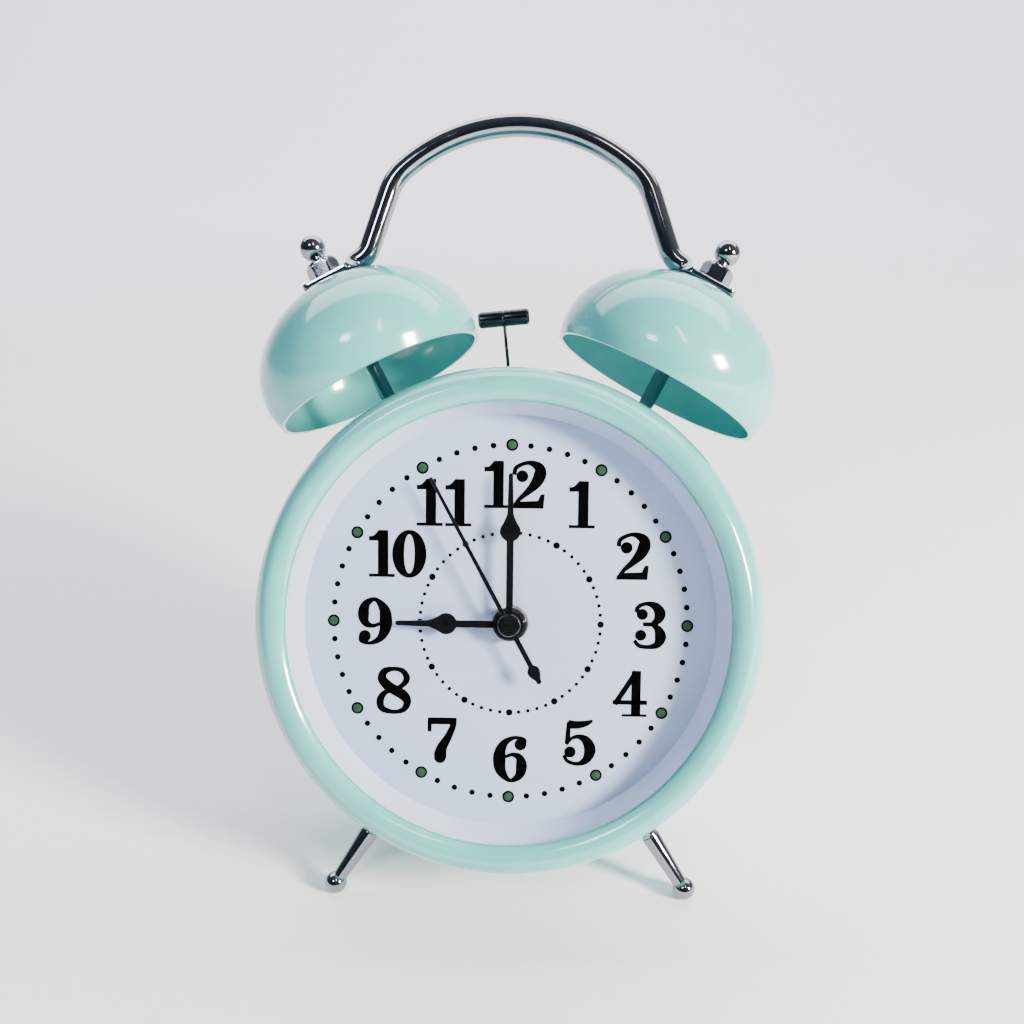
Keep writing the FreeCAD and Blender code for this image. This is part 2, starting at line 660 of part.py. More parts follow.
def handle():
    """Bent rod with flattened, drilled ends that lie on the bells' crowns."""
    seat, up, inward = tab_frame()
    lean = math.radians(HANDLE_LEG_LEAN)
    rise = point(-math.sin(lean), 0, math.cos(lean))
    bend_r = seat.x - HANDLE_TUCK
    top_z = seat.z + HANDLE_RISE
    top_centre = point(0, TOP_Y, top_z - bend_r)

    turn = inward.getAngle(rise) / 2
    cut_back = HANDLE_HEEL_R * math.tan(turn)
    start = TAB_HEEL - cut_back
    tab_rise = HANDLE_ROD_R - TAB_T / 2 - crown_drop(start) + BELL_CLEARANCE
    heel = seat + up * tab_rise + inward * TAB_HEEL
    heel_start = heel - inward * cut_back
    heel_end = heel + rise * cut_back
    heel_middle = heel + (rise - inward).normalize() * (HANDLE_HEEL_R / math.cos(turn) - HANDLE_HEEL_R)

    side = point(rise.z, 0, -rise.x)
    inset = heel - side * HANDLE_CORNER_R - top_centre
    reach = bend_r - HANDLE_CORNER_R
    along = inset.dot(rise)
    run = -along + math.sqrt(along * along - inset.dot(inset) + reach * reach)
    corner_centre = top_centre + inset + rise * run
    corner_start = corner_centre + side * HANDLE_CORNER_R
    out = (corner_centre - top_centre).normalize()
    corner_end = corner_centre + out * HANDLE_CORNER_R
    corner_middle = corner_centre + (side + out).normalize() * HANDLE_CORNER_R

    def flip(place):
        return point(-place.x, place.y, place.z)

    edges = [
        arc(heel_start, heel_middle, heel_end),
        line(heel_end, corner_start),
        arc(corner_start, corner_middle, corner_end),
        arc(corner_end, point(0, TOP_Y, top_z), flip(corner_end)),
        arc(flip(corner_end), flip(corner_middle), flip(corner_start)),
        line(flip(corner_start), flip(heel_end)),
        arc(flip(heel_end), flip(heel_middle), flip(heel_start)),
    ]
    spine = Part.Wire(edges)
    profile = Part.Wire([Part.makeCircle(HANDLE_ROD_R, heel_start, inward)])
    rod = spine.makePipeShell([profile], True, True)

    half = TAB_WIDTH / 2
    outline = [
        (-TAB_BLADE, -half), (TAB_REACH - TAB_CORNER, -half), (TAB_REACH, TAB_CORNER - half),
        (TAB_REACH, half - TAB_CORNER), (TAB_REACH - TAB_CORNER, half), (-TAB_BLADE, half),
    ]
    corners = [point(x, y, -TAB_T / 2) for x, y in outline]
    tab = Part.Face(Part.makePolygon(corners + corners[:1])).extrude(Z * TAB_T)
    blade_end = [(-half, -TAB_T / 2), (half, -TAB_T / 2), (half, TAB_T / 2), (-half, TAB_T / 2)]
    blade_end = [point(-TAB_BLADE, y, z) for y, z in blade_end]
    rod_end = Part.Wire([Part.makeCircle(HANDLE_ROD_R, point(-start, 0, tab_rise), X)])
    tab = tab.fuse(Part.makeLoft([Part.makePolygon(blade_end + blade_end[:1]), rod_end], True))
    tab = tab.cut(Part.makeCylinder(POST_STUD_R + STUD_CLEARANCE, 2 * TAB_T, point(0, 0, -TAB_T)))
    tab.rotate(point(0, 0, 0), Y, BELL_TILT)
    tab.translate(seat)
    below = on_bell_axis(Part.makeCylinder(BELL_R, BELL_H, point(0, 0, 0)))
    tab = tab.cut(below)
    return rod.fuse(tab).fuse(mirrored(tab)).removeSplitter()


def leg_axis(shape, side):
    """Turn a shape from the upright radial direction to a leg's direction."""
    shape = shape.copy()
    shape.rotate(point(0, 0, 0), Y, side * (180 - LEG_ANGLE))
    shape.translate(point(0, LEG_Y, 0))
    return shape


def leg(side):
    """Turned leg about its own axis: stud, tapered shank with one groove, ball foot."""
    stud_end = DRUM_INSIDE_R - INNER_NUT_H - POST_STUD_PAST
    groove = DRUM_R + LEG_GROOVE_AT
    edge_r = LEG_TOP_R - LEG_GROOVE_EDGE
    shank = turned_z([
        (0, stud_end),
        (POST_STUD_R, stud_end),
        (POST_STUD_R, DRUM_R - 1),
        (LEG_TOP_R, DRUM_R - 1),
        (LEG_TOP_R, DRUM_R + 1),
        (edge_r, groove),
        (LEG_GROOVE_R, groove + LEG_GROOVE_W / 8),
        (LEG_GROOVE_R, groove + LEG_GROOVE_W * 7 / 8),
        (edge_r, groove + LEG_GROOVE_W),
        (LEG_TIP_R, LEG_BALL_AT),
        (0, LEG_BALL_AT),
    ])
    shank = leg_axis(shank.fuse(Part.makeSphere(LEG_BALL_R, point(0, 0, LEG_BALL_AT))), side)
    wall = tube(DRUM_R, DRUM_INSIDE_R, 0, DRUM_BACK_Y)
    hole = leg_axis(Part.makeCylinder(POST_STUD_R + STUD_CLEARANCE, DRUM_R), side)
    return shank.cut(wall.cut(hole))


def leg_nuts():
    inside = disc(DRUM_INSIDE_R, 0, DRUM_BACK_Y)
    return Part.makeCompound([leg_axis(inner_nut(DRUM_INSIDE_R), side).common(inside) for side in (1, -1)])


# ---------------------------------------------------------------- hammer
def hammer_rest(shape):
    shape = shape.copy()
    shape.rotate(point(0, TOP_Y, HAMMER_PIVOT_Z), Y, -HAMMER_REST_LEAN)
    return shape


def hammer_head():
    """Steel cylinder across the wire, chamfered at both ends."""
    half = HAMMER_HEAD_L / 2
    edge = HAMMER_HEAD_R - HAMMER_HEAD_CHAMFER
    head = turned_z([
        (0, -half), (edge, -half), (HAMMER_HEAD_R, -half + HAMMER_HEAD_CHAMFER),
        (HAMMER_HEAD_R, half - HAMMER_HEAD_CHAMFER), (edge, half), (0, half),
    ])
    head.rotate(point(0, 0, 0), Y, 90)
    head.translate(point(0, TOP_Y, HAMMER_PIVOT_Z + HAMMER_ARM))
    wire_seat = Part.makeCylinder(HAMMER_WIRE_R, HAMMER_ARM, point(0, TOP_Y, HAMMER_PIVOT_Z))
    return hammer_rest(head.cut(wire_seat))


def hammer_wire():
    hub = disc(HUB_R, TOP_Y - HUB_HALF, TOP_Y + HUB_HALF, (0, HAMMER_PIVOT_Z))
    wire = Part.makeCylinder(HAMMER_WIRE_R, HAMMER_ARM, point(0, TOP_Y, HAMMER_PIVOT_Z))
    return hammer_rest(wire.cut(hub))


def hammer_armature():
    """Plastic hub on the pivot pin with the steel plate that the magnet pulls."""
    hub = disc(HUB_R, TOP_Y - HUB_HALF, TOP_Y + HUB_HALF, (0, HAMMER_PIVOT_Z))
    low = (0, TOP_Y - ARMATURE_HALF_Y, HAMMER_PIVOT_Z - ARMATURE_T)
    hub = hub.fuse(box(low, (ARMATURE_REACH, TOP_Y + ARMATURE_HALF_Y, HAMMER_PIVOT_Z)))
    pin = disc(PIVOT_R + RUNNING_FIT, TOP_Y - 20, TOP_Y + 20, (0, HAMMER_PIVOT_Z))
    return hammer_rest(hub.cut(pin).removeSplitter())


def hammer_bracket():
    """Steel U on top of the movement; its two cheeks carry the hammer's pivot pin."""
    low = (-BRACKET_X, MODULE_FRONT_Y + BRACKET_SET_BACK, MODULE_HALF)
    base = box(low, (BRACKET_X, TOP_Y + CHEEK_HALF_Y, MODULE_HALF + BRACKET_T))
    for side in (-1, 1):
        middle = TOP_Y + side * (CHEEK_HALF_Y - BRACKET_T / 2)
        low = (-CHEEK_HALF_X, middle - BRACKET_T / 2, MODULE_HALF)
        cheek = box(low, (CHEEK_HALF_X, middle + BRACKET_T / 2, HAMMER_PIVOT_Z))
        cheek = cheek.fuse(disc(CHEEK_HALF_X, low[1], low[1] + BRACKET_T, (0, HAMMER_PIVOT_Z)))
        base = base.fuse(cheek)
    return base.cut(disc(PIVOT_R, 0, DRUM_BACK_Y, (0, HAMMER_PIVOT_Z))).removeSplitter()


def hammer_pin():
    half = CHEEK_HALF_Y + PIVOT_END
    return disc(PIVOT_R, TOP_Y - half, TOP_Y + half, (0, HAMMER_PIVOT_Z))


def magnet_core():
    height = HAMMER_PIVOT_Z - MAGNET_TOP - MODULE_HALF - BRACKET_T
    return Part.makeCylinder(MAGNET_CORE_R, height, point(MAGNET_X, TOP_Y, MODULE_HALF + BRACKET_T))


def magnet_coil():
    low = MODULE_HALF + BRACKET_T
    height = HAMMER_PIVOT_Z - MAGNET_TOP - low - MAGNET_COIL_SHORT
    coil = Part.makeCylinder(MAGNET_COIL_R, height, point(MAGNET_X, TOP_Y, low))
    return coil.cut(Part.makeCylinder(MAGNET_CORE_R, height, point(MAGNET_X, TOP_Y, low)))


# ---------------------------------------------------------------- movement module
def time_axis():
    distance = (MOTION_WHEEL_TEETH + SET_PINION_TEETH) * MOTION_MODULE / 2
    return polar(distance, SET_DIRECTION, polar(*MOTION_AXIS))


def alarm_axis():
    return polar((ALARM_TEETH + ALARM_PINION_TEETH) * ALARM_MODULE / 2, ALARM_DIRECTION)


def step_axis():
    return polar((SECONDS_TEETH + STEP_PINION_TEETH) * STEP_MODULE / 2, STEP_DIRECTION)


def rotor_axis():
    return polar((STEP_TEETH + ROTOR_TEETH) * ROTOR_MODULE / 2, ROTOR_DIRECTION, step_axis())


def shell_box(front, back):
    """One half of the module's square box, open on the side that meets the other half."""
    half = MODULE_HALF
    return box((-half, front, -half), (half, back, half))


def movement_front():
    """Front half: plate with the threaded centre bush and the motion wheel's stud."""
    half = MODULE_HALF - MODULE_WALL
    plate_back = MODULE_FRONT_Y + MODULE_WALL
    shell = shell_box(MODULE_FRONT_Y, MODULE_SPLIT_Y)
    shell = shell.cut(box((-half, plate_back, -half), (half, MODULE_SPLIT_Y + 1, half)))
    shell = shell.fuse(disc(BUSH_R, BUSH_FRONT_Y, MODULE_FRONT_Y))
    shell = shell.cut(disc(ALARM_PIPE_R + RUNNING_FIT, BUSH_FRONT_Y - 1, plate_back + 1))
    stud = disc(STUD_R, plate_back, CANNON_LAYER + GEAR_T + STUD_END, polar(*MOTION_AXIS))
    shell = shell.fuse(stud)
    return shell.cut(disc(ARBOR_R + RUNNING_FIT, 0, plate_back + 1, polar(*THIRD_AXIS))).removeSplitter()


def movement_back():
    """Rear half: plate with bearings for the arbors and holes for the two knob shafts."""
    half = MODULE_HALF - MODULE_WALL
    plate_front = MODULE_BACK_Y - MODULE_WALL
    shell = shell_box(MODULE_SPLIT_Y, MODULE_BACK_Y)
    shell = shell.cut(box((-half, MODULE_SPLIT_Y - 1, -half), (half, plate_front, half)))
    for place in (time_axis(), alarm_axis()):
        shell = shell.cut(disc(SHAFT_R + RUNNING_FIT, plate_front - 1, MODULE_BACK_Y + 1, place))
    bearing_back = MODULE_BACK_Y - BEARING_SKIN
    shell = shell.cut(disc(SECONDS_ARBOR_R + RUNNING_FIT, plate_front - 1, bearing_back))
    for radius, place in ((ARBOR_R, step_axis()), (ROTOR_ARBOR_R, rotor_axis())):
        shell = shell.cut(disc(radius + RUNNING_FIT, plate_front - 1, bearing_back, place))
    return shell


def gear_bridge():
    """Plate between the two halves that carries the inner ends of the arbors."""
    half = MODULE_HALF - MODULE_WALL - 0.2
    bridge = box((-half, BRIDGE_Y, -half), (half, BRIDGE_Y + BRIDGE_T, half))
    for place in (time_axis(), alarm_axis()):
        bridge = bridge.cut(disc(SHAFT_R + RUNNING_FIT, BRIDGE_Y - 1, BRIDGE_Y + 2, place))
    bridge = bridge.cut(disc(SECONDS_ARBOR_R + RUNNING_FIT, BRIDGE_Y - 1, BRIDGE_Y + 2))
    bearings = (ARBOR_R, polar(*THIRD_AXIS)), (ARBOR_R, step_axis()), (ROTOR_ARBOR_R, rotor_axis())
    for radius, place in bearings:
        bridge = bridge.cut(disc(radius + RUNNING_FIT, BRIDGE_Y - 1, BRIDGE_Y + 2, place))
    half_x, half_z = COIL_HALF[0] + COIL_ROOM, COIL_HALF[2] + COIL_ROOM
    low = (COIL_AT[0] - half_x, BRIDGE_Y - 1, COIL_AT[1] - half_z)
    high = (COIL_AT[0] + half_x, BRIDGE_Y + 2, COIL_AT[1] + half_z)
    return bridge.cut(box(low, high))


def stator():
    """Steel loop: one side wraps the rotor, the other side runs through the coil."""
    front = SECONDS_LAYER + STATOR_SET_BACK
    bar_x = COIL_AT[0] - STATOR_BAR_HALF
    loop = box((bar_x, front, STATOR_Z[0]), (STATOR_X[1], front + STATOR_T, STATOR_Z[1]))
    low = (COIL_AT[0] + STATOR_BAR_HALF, front - 1, STATOR_Z[0] + 2.5)
    loop = loop.cut(box(low, (STATOR_X[0], front + 2, STATOR_Z[1] - 3.0)))
    return loop.cut(disc(ROTOR_R + ROTOR_GAP, front - 1, front + 2, rotor_axis()))


def drive_coil():
    middle = SECONDS_LAYER + STATOR_SET_BACK + STATOR_T / 2
    low = (COIL_AT[0] - COIL_HALF[0], middle - COIL_HALF[1], COIL_AT[1] - COIL_HALF[2])
    high = (COIL_AT[0] + COIL_HALF[0], middle + COIL_HALF[1], COIL_AT[1] + COIL_HALF[2])
    bar = box(
        (COIL_AT[0] - STATOR_BAR_HALF, middle - STATOR_T / 2, low[2] - 1),
        (COIL_AT[0] + STATOR_BAR_HALF, middle + STATOR_T / 2, high[2] + 1),
    )
    return box(low, high).cut(bar)


def circuit_board():
    """Board with the timing chip and its quartz crystal."""
    front = SECONDS_LAYER + BOARD_SET_BACK
    face = front + BOARD_T
    x, z = BOARD_LOW
    board = box((x, front, z), (BOARD_HIGH[0], face, BOARD_HIGH[1]))
    chip = box((x + 4, face, z + 6), (x + 10, face + CHIP_T, z + 12))
    crystal = box((x + 12.5, face, z + 5), (x + 14.5, face + CHIP_T, z + 11.5))
    return board.fuse(chip).fuse(crystal)


def bush_nut():
    radius = BUSH_NUT_FLATS / math.sqrt(3)
    corners = [polar(radius, a) for a in range(0, 361, 60)]
    outline = Part.makePolygon([point(x, -BUSH_NUT_T, z) for x, z in corners])
    nut = Part.Face(outline).extrude(Y * BUSH_NUT_T)
    return nut.cut(disc(BUSH_R, -BUSH_NUT_T - 1, 1))


# phases of the wheels, worked out along each train from the centre
MOTION_PHASE = meshed(MOTION_AXIS[1], CANNON_TEETH, MOTION_AXIS[1], MOTION_WHEEL_TEETH)
SET_PHASE = meshed(MOTION_PHASE, MOTION_WHEEL_TEETH, SET_DIRECTION, SET_PINION_TEETH)
HOUR_PHASE = meshed(MOTION_AXIS[1] + 180, MOTION_PINION_TEETH, MOTION_AXIS[1] + 180, HOUR_TEETH)
ALARM_PINION_PHASE = meshed(ALARM_DIRECTION, ALARM_TEETH, ALARM_DIRECTION, ALARM_PINION_TEETH)
THIRD_PHASE = meshed(THIRD_AXIS[1], SECONDS_PINION_TEETH, THIRD_AXIS[1], THIRD_TEETH)
CENTRE_PHASE = meshed(THIRD_AXIS[1] + 180, THIRD_PINION_TEETH, THIRD_AXIS[1] + 180, CENTRE_TEETH)
STEP_PINION_PHASE = meshed(STEP_DIRECTION, SECONDS_TEETH, STEP_DIRECTION, STEP_PINION_TEETH)
ROTOR_PHASE = meshed(ROTOR_DIRECTION, STEP_TEETH, ROTOR_DIRECTION, ROTOR_TEETH)


def seconds_arbor():
    """Steel arbor right through the movement, with the seconds pinion and wheel."""
    arbor = disc(SECONDS_ARBOR_R, SECOND_HAND_Y, MODULE_BACK_Y - ARBOR_END)
    pinion = gear(SECONDS_PINION_TEETH, THIRD_MODULE, THIRD_LAYER, GEAR_T, 0, phase=THIRD_AXIS[1])
    wheel = gear(SECONDS_TEETH, STEP_MODULE, SECONDS_LAYER, FINE_GEAR_T, 0, phase=STEP_DIRECTION)
    return arbor.fuse(pinion).fuse(wheel)


def third_wheel():
    place = polar(*THIRD_AXIS)
    arbor = disc(ARBOR_R, MODULE_FRONT_Y + BEARING_SKIN, BRIDGE_Y + BRIDGE_T, place)
    wheel = gear(THIRD_TEETH, THIRD_MODULE, THIRD_LAYER, GEAR_T, 0, place, THIRD_PHASE)
    front = CENTRE_LAYER - 0.2
    direction = THIRD_AXIS[1] + 180
    pinion = gear(THIRD_PINION_TEETH, CENTRE_MODULE, front, THIRD_LAYER - front, 0, place, direction)
    return arbor.fuse(wheel).fuse(pinion)


def centre_wheel():
    """Wheel that grips the cannon by friction, so that the hands can be set."""
    bore = CANNON_R + RUNNING_FIT
    return gear(CENTRE_TEETH, CENTRE_MODULE, CENTRE_LAYER, FINE_GEAR_T, bore, phase=CENTRE_PHASE)


def step_wheel():
    place = step_axis()
    arbor = disc(ARBOR_R, BRIDGE_Y, MODULE_BACK_Y - ARBOR_END, place)
    phase = STEP_PINION_PHASE
    pinion = gear(STEP_PINION_TEETH, STEP_MODULE, SECONDS_LAYER, FINE_GEAR_T, 0, place, phase)
    wheel = gear(STEP_TEETH, ROTOR_MODULE, STEP_LAYER, FINE_GEAR_T, 0, place, ROTOR_DIRECTION)
    return arbor.fuse(pinion).fuse(wheel)


def rotor():
    place = rotor_axis()
    arbor = disc(ROTOR_ARBOR_R, BRIDGE_Y, MODULE_BACK_Y - ARBOR_END, place)
    magnet = disc(ROTOR_R, BRIDGE_Y + BRIDGE_T + 0.2, STEP_LAYER - 0.3, place)
    pinion = gear(ROTOR_TEETH, ROTOR_MODULE, STEP_LAYER - 0.1, FINE_GEAR_T + 0.2, 0, place, ROTOR_PHASE)
    return arbor.fuse(magnet).fuse(pinion)


def cannon_pinion():
    """Tube that carries the minute hand, with the pinion of the motion work."""
    pipe = disc(CANNON_R, MINUTE_HAND_Y - PIPE_STANDOFF, THIRD_LAYER - 0.3)
    pinion = gear(CANNON_TEETH, MOTION_MODULE, CANNON_LAYER, GEAR_T, 0, phase=MOTION_AXIS[1])
    return pipe.fuse(pinion).cut(disc(SECONDS_ARBOR_R + RUNNING_FIT, -10, MODULE_BACK_Y))


def motion_wheel():
    place = polar(*MOTION_AXIS)
    wheel = gear(MOTION_WHEEL_TEETH, MOTION_MODULE, CANNON_LAYER, GEAR_T, 0, place, MOTION_PHASE)
    width, direction = CANNON_LAYER - HOUR_LAYER, MOTION_DIRECTION + 180
    pinion = gear(MOTION_PINION_TEETH, HOUR_MODULE, HOUR_LAYER, width, 0, place, direction)
    return wheel.fuse(pinion).cut(disc(STUD_R + RUNNING_FIT, 0, MODULE_BACK_Y, place))


def hour_wheel():
    pipe = disc(HOUR_PIPE_R, HOUR_HAND_Y - PIPE_STANDOFF, HOUR_LAYER + GEAR_T)
    wheel = gear(HOUR_TEETH, HOUR_MODULE, HOUR_LAYER, GEAR_T, 0, phase=HOUR_PHASE)
    return pipe.fuse(wheel).cut(disc(CANNON_R + RUNNING_FIT, -10, MODULE_BACK_Y))


def alarm_wheel():
    pipe = disc(ALARM_PIPE_R, ALARM_HAND_Y - PIPE_STANDOFF, ALARM_LAYER + GEAR_T)
    wheel = gear(ALARM_TEETH, ALARM_MODULE, ALARM_LAYER, GEAR_T, 0, phase=ALARM_DIRECTION)
    return pipe.fuse(wheel).cut(disc(HOUR_PIPE_R + RUNNING_FIT, -10, MODULE_BACK_Y))


def knob_shaft(place, pinion):
    front = COVER_FLOOR_Y + COVER_WALL + KNOB_FLOOR_GAP
    shaft = disc(SHAFT_R, KNOB_SHAFT_FRONT, front + KNOB_H - KNOB_CAP_T, place)
    return shaft.fuse(pinion)


def knob(place, radius):
    """Fluted push-on knob."""
    front = COVER_FLOOR_Y + COVER_WALL + KNOB_FLOOR_GAP
    body = disc(radius, front, front + KNOB_H, place)
    body = body.makeChamfer(KNOB_CHAMFER, [e for e in body.Edges if e.Length > 6 * radius])
    for flute in range(KNOB_FLUTES):
        edge = polar(radius, 360 * flute / KNOB_FLUTES, place)
        body = body.cut(disc(KNOB_FLUTE_R, front - 1, front + KNOB_H + 1, edge))
    return body.cut(disc(SHAFT_R, front - 1, front + KNOB_H - KNOB_CAP_T, place))


# ---------------------------------------------------------------- hands
def minute_hand():
    return hand(**MINUTE_HAND, bore=CANNON_R, front=MINUTE_HAND_Y, direction=MINUTE_DIRECTION)


def hour_hand():
    return hand(**HOUR_HAND, bore=HOUR_PIPE_R, front=HOUR_HAND_Y, direction=HOUR_DIRECTION)


def alarm_hand():
    half = ALARM_HAND["width"] / 2
    low = (-half, ALARM_HAND_Y, 0)
    pointer = box(low, (half, ALARM_HAND_Y + HAND_T, ALARM_HAND["length"]))
    pointer = pointer.fuse(disc(ALARM_HAND["hub_r"], ALARM_HAND_Y, ALARM_HAND_Y + HAND_T))
    pointer = pointer.cut(disc(ALARM_PIPE_R, ALARM_HAND_Y - 1, 0))
    pointer.rotate(point(0, 0, 0), Y, ALARM_HAND_DIRECTION)
    return pointer.removeSplitter()


def second_hand():
    """Needle with a spade counterweight on its tail."""
    half = SECOND_HAND["width"] / 2
    back = SECOND_HAND_Y + HAND_T
    weight_r = SECOND_HAND["weight_r"]
    tail = SECOND_HAND["tail"]
    needle = box((-half, SECOND_HAND_Y, -tail), (half, back, SECOND_HAND["length"]))
    needle = needle.fuse(disc(SECOND_HAND["hub_r"], SECOND_HAND_Y, back))
    weight_z = -tail + BULB_PEAK * weight_r
    needle = needle.fuse(disc(weight_r, SECOND_HAND_Y, back, (0, weight_z)))
    side_x, side_z = weight_r * math.sin(math.radians(67)), weight_z - weight_r * math.cos(math.radians(67))
    outline = [(side_x, side_z), (half, -tail), (-half, -tail), (-side_x, side_z)]
    corners = [point(x, SECOND_HAND_Y, z) for x, z in outline]
    needle = needle.fuse(Part.Face(Part.makePolygon(corners + corners[:1])).extrude(Y * HAND_T))
    needle = needle.cut(disc(SECONDS_ARBOR_R, SECOND_HAND_Y - 1, 0)).removeSplitter()
    needle.rotate(point(0, 0, 0), Y, SECOND_DIRECTION)
    return needle


def hub_cap():
    """Domed cap pressed over the second hand's hub."""
    bulge = (HUB_CAP_R ** 2 + HUB_CAP_H ** 2) / (2 * HUB_CAP_H)
    ball = Part.makeSphere(bulge, point(0, SECOND_HAND_Y - HUB_CAP_H + bulge, 0))
    return ball.common(disc(HUB_CAP_R, SECOND_HAND_Y - HUB_CAP_H - 1, SECOND_HAND_Y))


# ---------------------------------------------------------------- battery and switch
def battery():
    cell = Part.makeCylinder(CELL_R, CELL_L, point(-CELL_L / 2, CELL_Y, CELL_Z), X)
    nub = Part.makeCylinder(CELL_NUB_R, CELL_NUB_L, point(CELL_L / 2, CELL_Y, CELL_Z), X)
    return cell.fuse(nub)


def contact(side):
    """Flat contact against the pocket's end wall, with a pressed bump that meets the cell."""
    wall_x = side * POCKET_X
    reach = CELL_NUB_L if side > 0 else 0
    plate_x = wall_x - side * CONTACT_T
    low = (min(wall_x, plate_x), CELL_Y - CONTACT_HALF[0], CELL_Z - CONTACT_HALF[1])
    plate = box(low, (max(wall_x, plate_x), CELL_Y + CONTACT_HALF[0], CELL_Z + CONTACT_HALF[1]))
    end_x = side * (CELL_L / 2 + reach)
    bump_at = point(min(plate_x, end_x), CELL_Y, CELL_Z)
    bump = Part.makeCylinder(CONTACT_BUMP_R, abs(plate_x - end_x), bump_at, X)
    return plate.fuse(bump) if abs(plate_x - end_x) > 0.01 else plate


def battery_door():
    half = POCKET_X - DOOR_FIT
    low = (-half, COVER_FLOOR_Y, CELL_Z - POCKET_Z + DOOR_FIT)
    door = box(low, (half, COVER_FLOOR_Y + COVER_WALL, CELL_Z + POCKET_Z - DOOR_FIT))
    outer = COVER_FLOOR_Y + COVER_WALL
    rib_low, rib_high = CELL_Z - DOOR_RIB_HALF, CELL_Z + DOOR_RIB_HALF
    ribs = [box((x, outer, rib_low), (x + 0.8, outer + 0.6, rib_high)) for x in DOOR_RIBS]
    return door.multiFuse(ribs)


def switch_box(length, width, front, back, room=0.0):
    """A block at the switch's place that runs along X from its resting end."""
    x, z = SWITCH_AT
    low = (x - SWITCH_L / 2 - room, front, z - width / 2 - room)
    return box(low, (x - SWITCH_L / 2 + length + room, back, z + width / 2 + room))


def alarm_switch():
    back = COVER_FLOOR_Y + COVER_WALL
    button = switch_box(SWITCH_L, SWITCH_W, COVER_FLOOR_Y - 0.5, back + SWITCH_H - COVER_WALL)
    x, z = SWITCH_AT
    half_x, half_z = SWITCH_SHOE_HALF
    shoe_back = COVER_FLOOR_Y - SWITCH_FIT
    shoe = box((x - half_x, shoe_back - SWITCH_SHOE_T, z - half_z), (x + half_x, shoe_back, z + half_z))
    return button.fuse(shoe).removeSplitter()


# ---------------------------------------------------------------- assembly
def nodes():
    right_post, right_nut = bell_post(), on_bell_axis(ball_nut())
    right_bell, right_washer, right_inner = on_bell_axis(bell()), on_bell_axis(bell_washer()), post_nut()
    set_pinion = gear(SET_PINION_TEETH, MOTION_MODULE, CANNON_LAYER, GEAR_T, 0, time_axis(), SET_PHASE)
    alarm_pinion = gear(
        ALARM_PINION_TEETH, ALARM_MODULE, ALARM_LAYER, GEAR_T, 0, alarm_axis(), ALARM_PINION_PHASE
    )
    return {
        "case_drum": case_drum(),
        "front_bezel": front_bezel(),
        "front_lens": front_lens(),
        "dial_ring": dial_ring(),
        "dial_plate": dial_plate(),
        "rear_cover": rear_cover(),
        "case_lugs": case_lugs(),
        "rear_screws": rear_screws(),
        "bell_right": right_bell,
        "bell_left": mirrored(right_bell),
        "bell_washer_right": right_washer,
        "bell_washer_left": mirrored(right_washer),
        "bell_post_right": right_post,
        "bell_post_left": mirrored(right_post),
        "post_nut_right": right_inner,
        "post_nut_left": mirrored(right_inner),
        "ball_nut_right": right_nut,
        "ball_nut_left": mirrored(right_nut),
        "handle": handle(),
        "leg_right": leg(1),
        "leg_left": leg(-1),
        "leg_nuts": leg_nuts(),
        "hammer_head": hammer_head(),
        "hammer_wire": hammer_wire(),
        "hammer_armature": hammer_armature(),
        "hammer_bracket": hammer_bracket(),
        "hammer_pin": hammer_pin(),
        "magnet_core": magnet_core(),
        "magnet_coil": magnet_coil(),
        "movement_front": movement_front(),
        "movement_back": movement_back(),
        "gear_bridge": gear_bridge(),
        "stator": stator(),
        "drive_coil": drive_coil(),
        "circuit_board": circuit_board(),
        "bush_nut": bush_nut(),
        "seconds_arbor": seconds_arbor(),
        "third_wheel": third_wheel(),
        "centre_wheel": centre_wheel(),
        "step_wheel": step_wheel(),
        "rotor": rotor(),
        "cannon_pinion": cannon_pinion(),
        "motion_wheel": motion_wheel(),
        "hour_wheel": hour_wheel(),
        "alarm_wheel": alarm_wheel(),
        "time_shaft": knob_shaft(time_axis(), set_pinion),
        "time_knob": knob(time_axis(), KNOB_R),
        "alarm_shaft": knob_shaft(alarm_axis(), alarm_pinion),
        "alarm_knob": knob(alarm_axis(), ALARM_KNOB_R),
        "minute_hand": minute_hand(),
        "hour_hand": hour_hand(),
        "alarm_hand": alarm_hand(),
        "second_hand": second_hand(),
        "hub_cap": hub_cap(),
        "battery": battery(),
        "contact_plus": contact(1),
        "contact_minus": contact(-1),
        "battery_door": battery_door(),
        "alarm_switch": alarm_switch(),
    }


def standing_lean():
    """Degrees of lean at which the ball feet and the drum's lower rear edge share a floor."""
    foot_z = -LEG_BALL_AT * math.cos(math.radians(LEG_ANGLE))
    reach, rise = DRUM_BACK_Y - LEG_Y, -DRUM_R - foot_z
    return math.degrees(math.atan2(rise, reach) + math.asin(LEG_BALL_R / math.hypot(reach, rise)))


def stood(shapes):
    """Lean the clock back onto its feet, with the floor at z = 0 and its plan centred on the origin."""
    for shape in shapes.values():
        shape.rotate(point(0, 0, 0), X, -standing_lean())
    extent = Part.makeCompound(list(shapes.values())).optimalBoundingBox(False)
    shift = point(0, -(extent.YMin + extent.YMax) / 2, -extent.ZMin)
    for shape in shapes.values():
        shape.translate(shift)
    return shift


def main():
    os.makedirs("parts", exist_ok=True)
    shapes = nodes()
    shift = stood(shapes)
    for name, shape in shapes.items():
        shape.exportStep(f"parts/{name}.step")
    print(f"lean {standing_lean():.4f} shift y {shift.y:.4f} z {shift.z:.4f}, {len(shapes)} nodes")


main()
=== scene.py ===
import json
import math

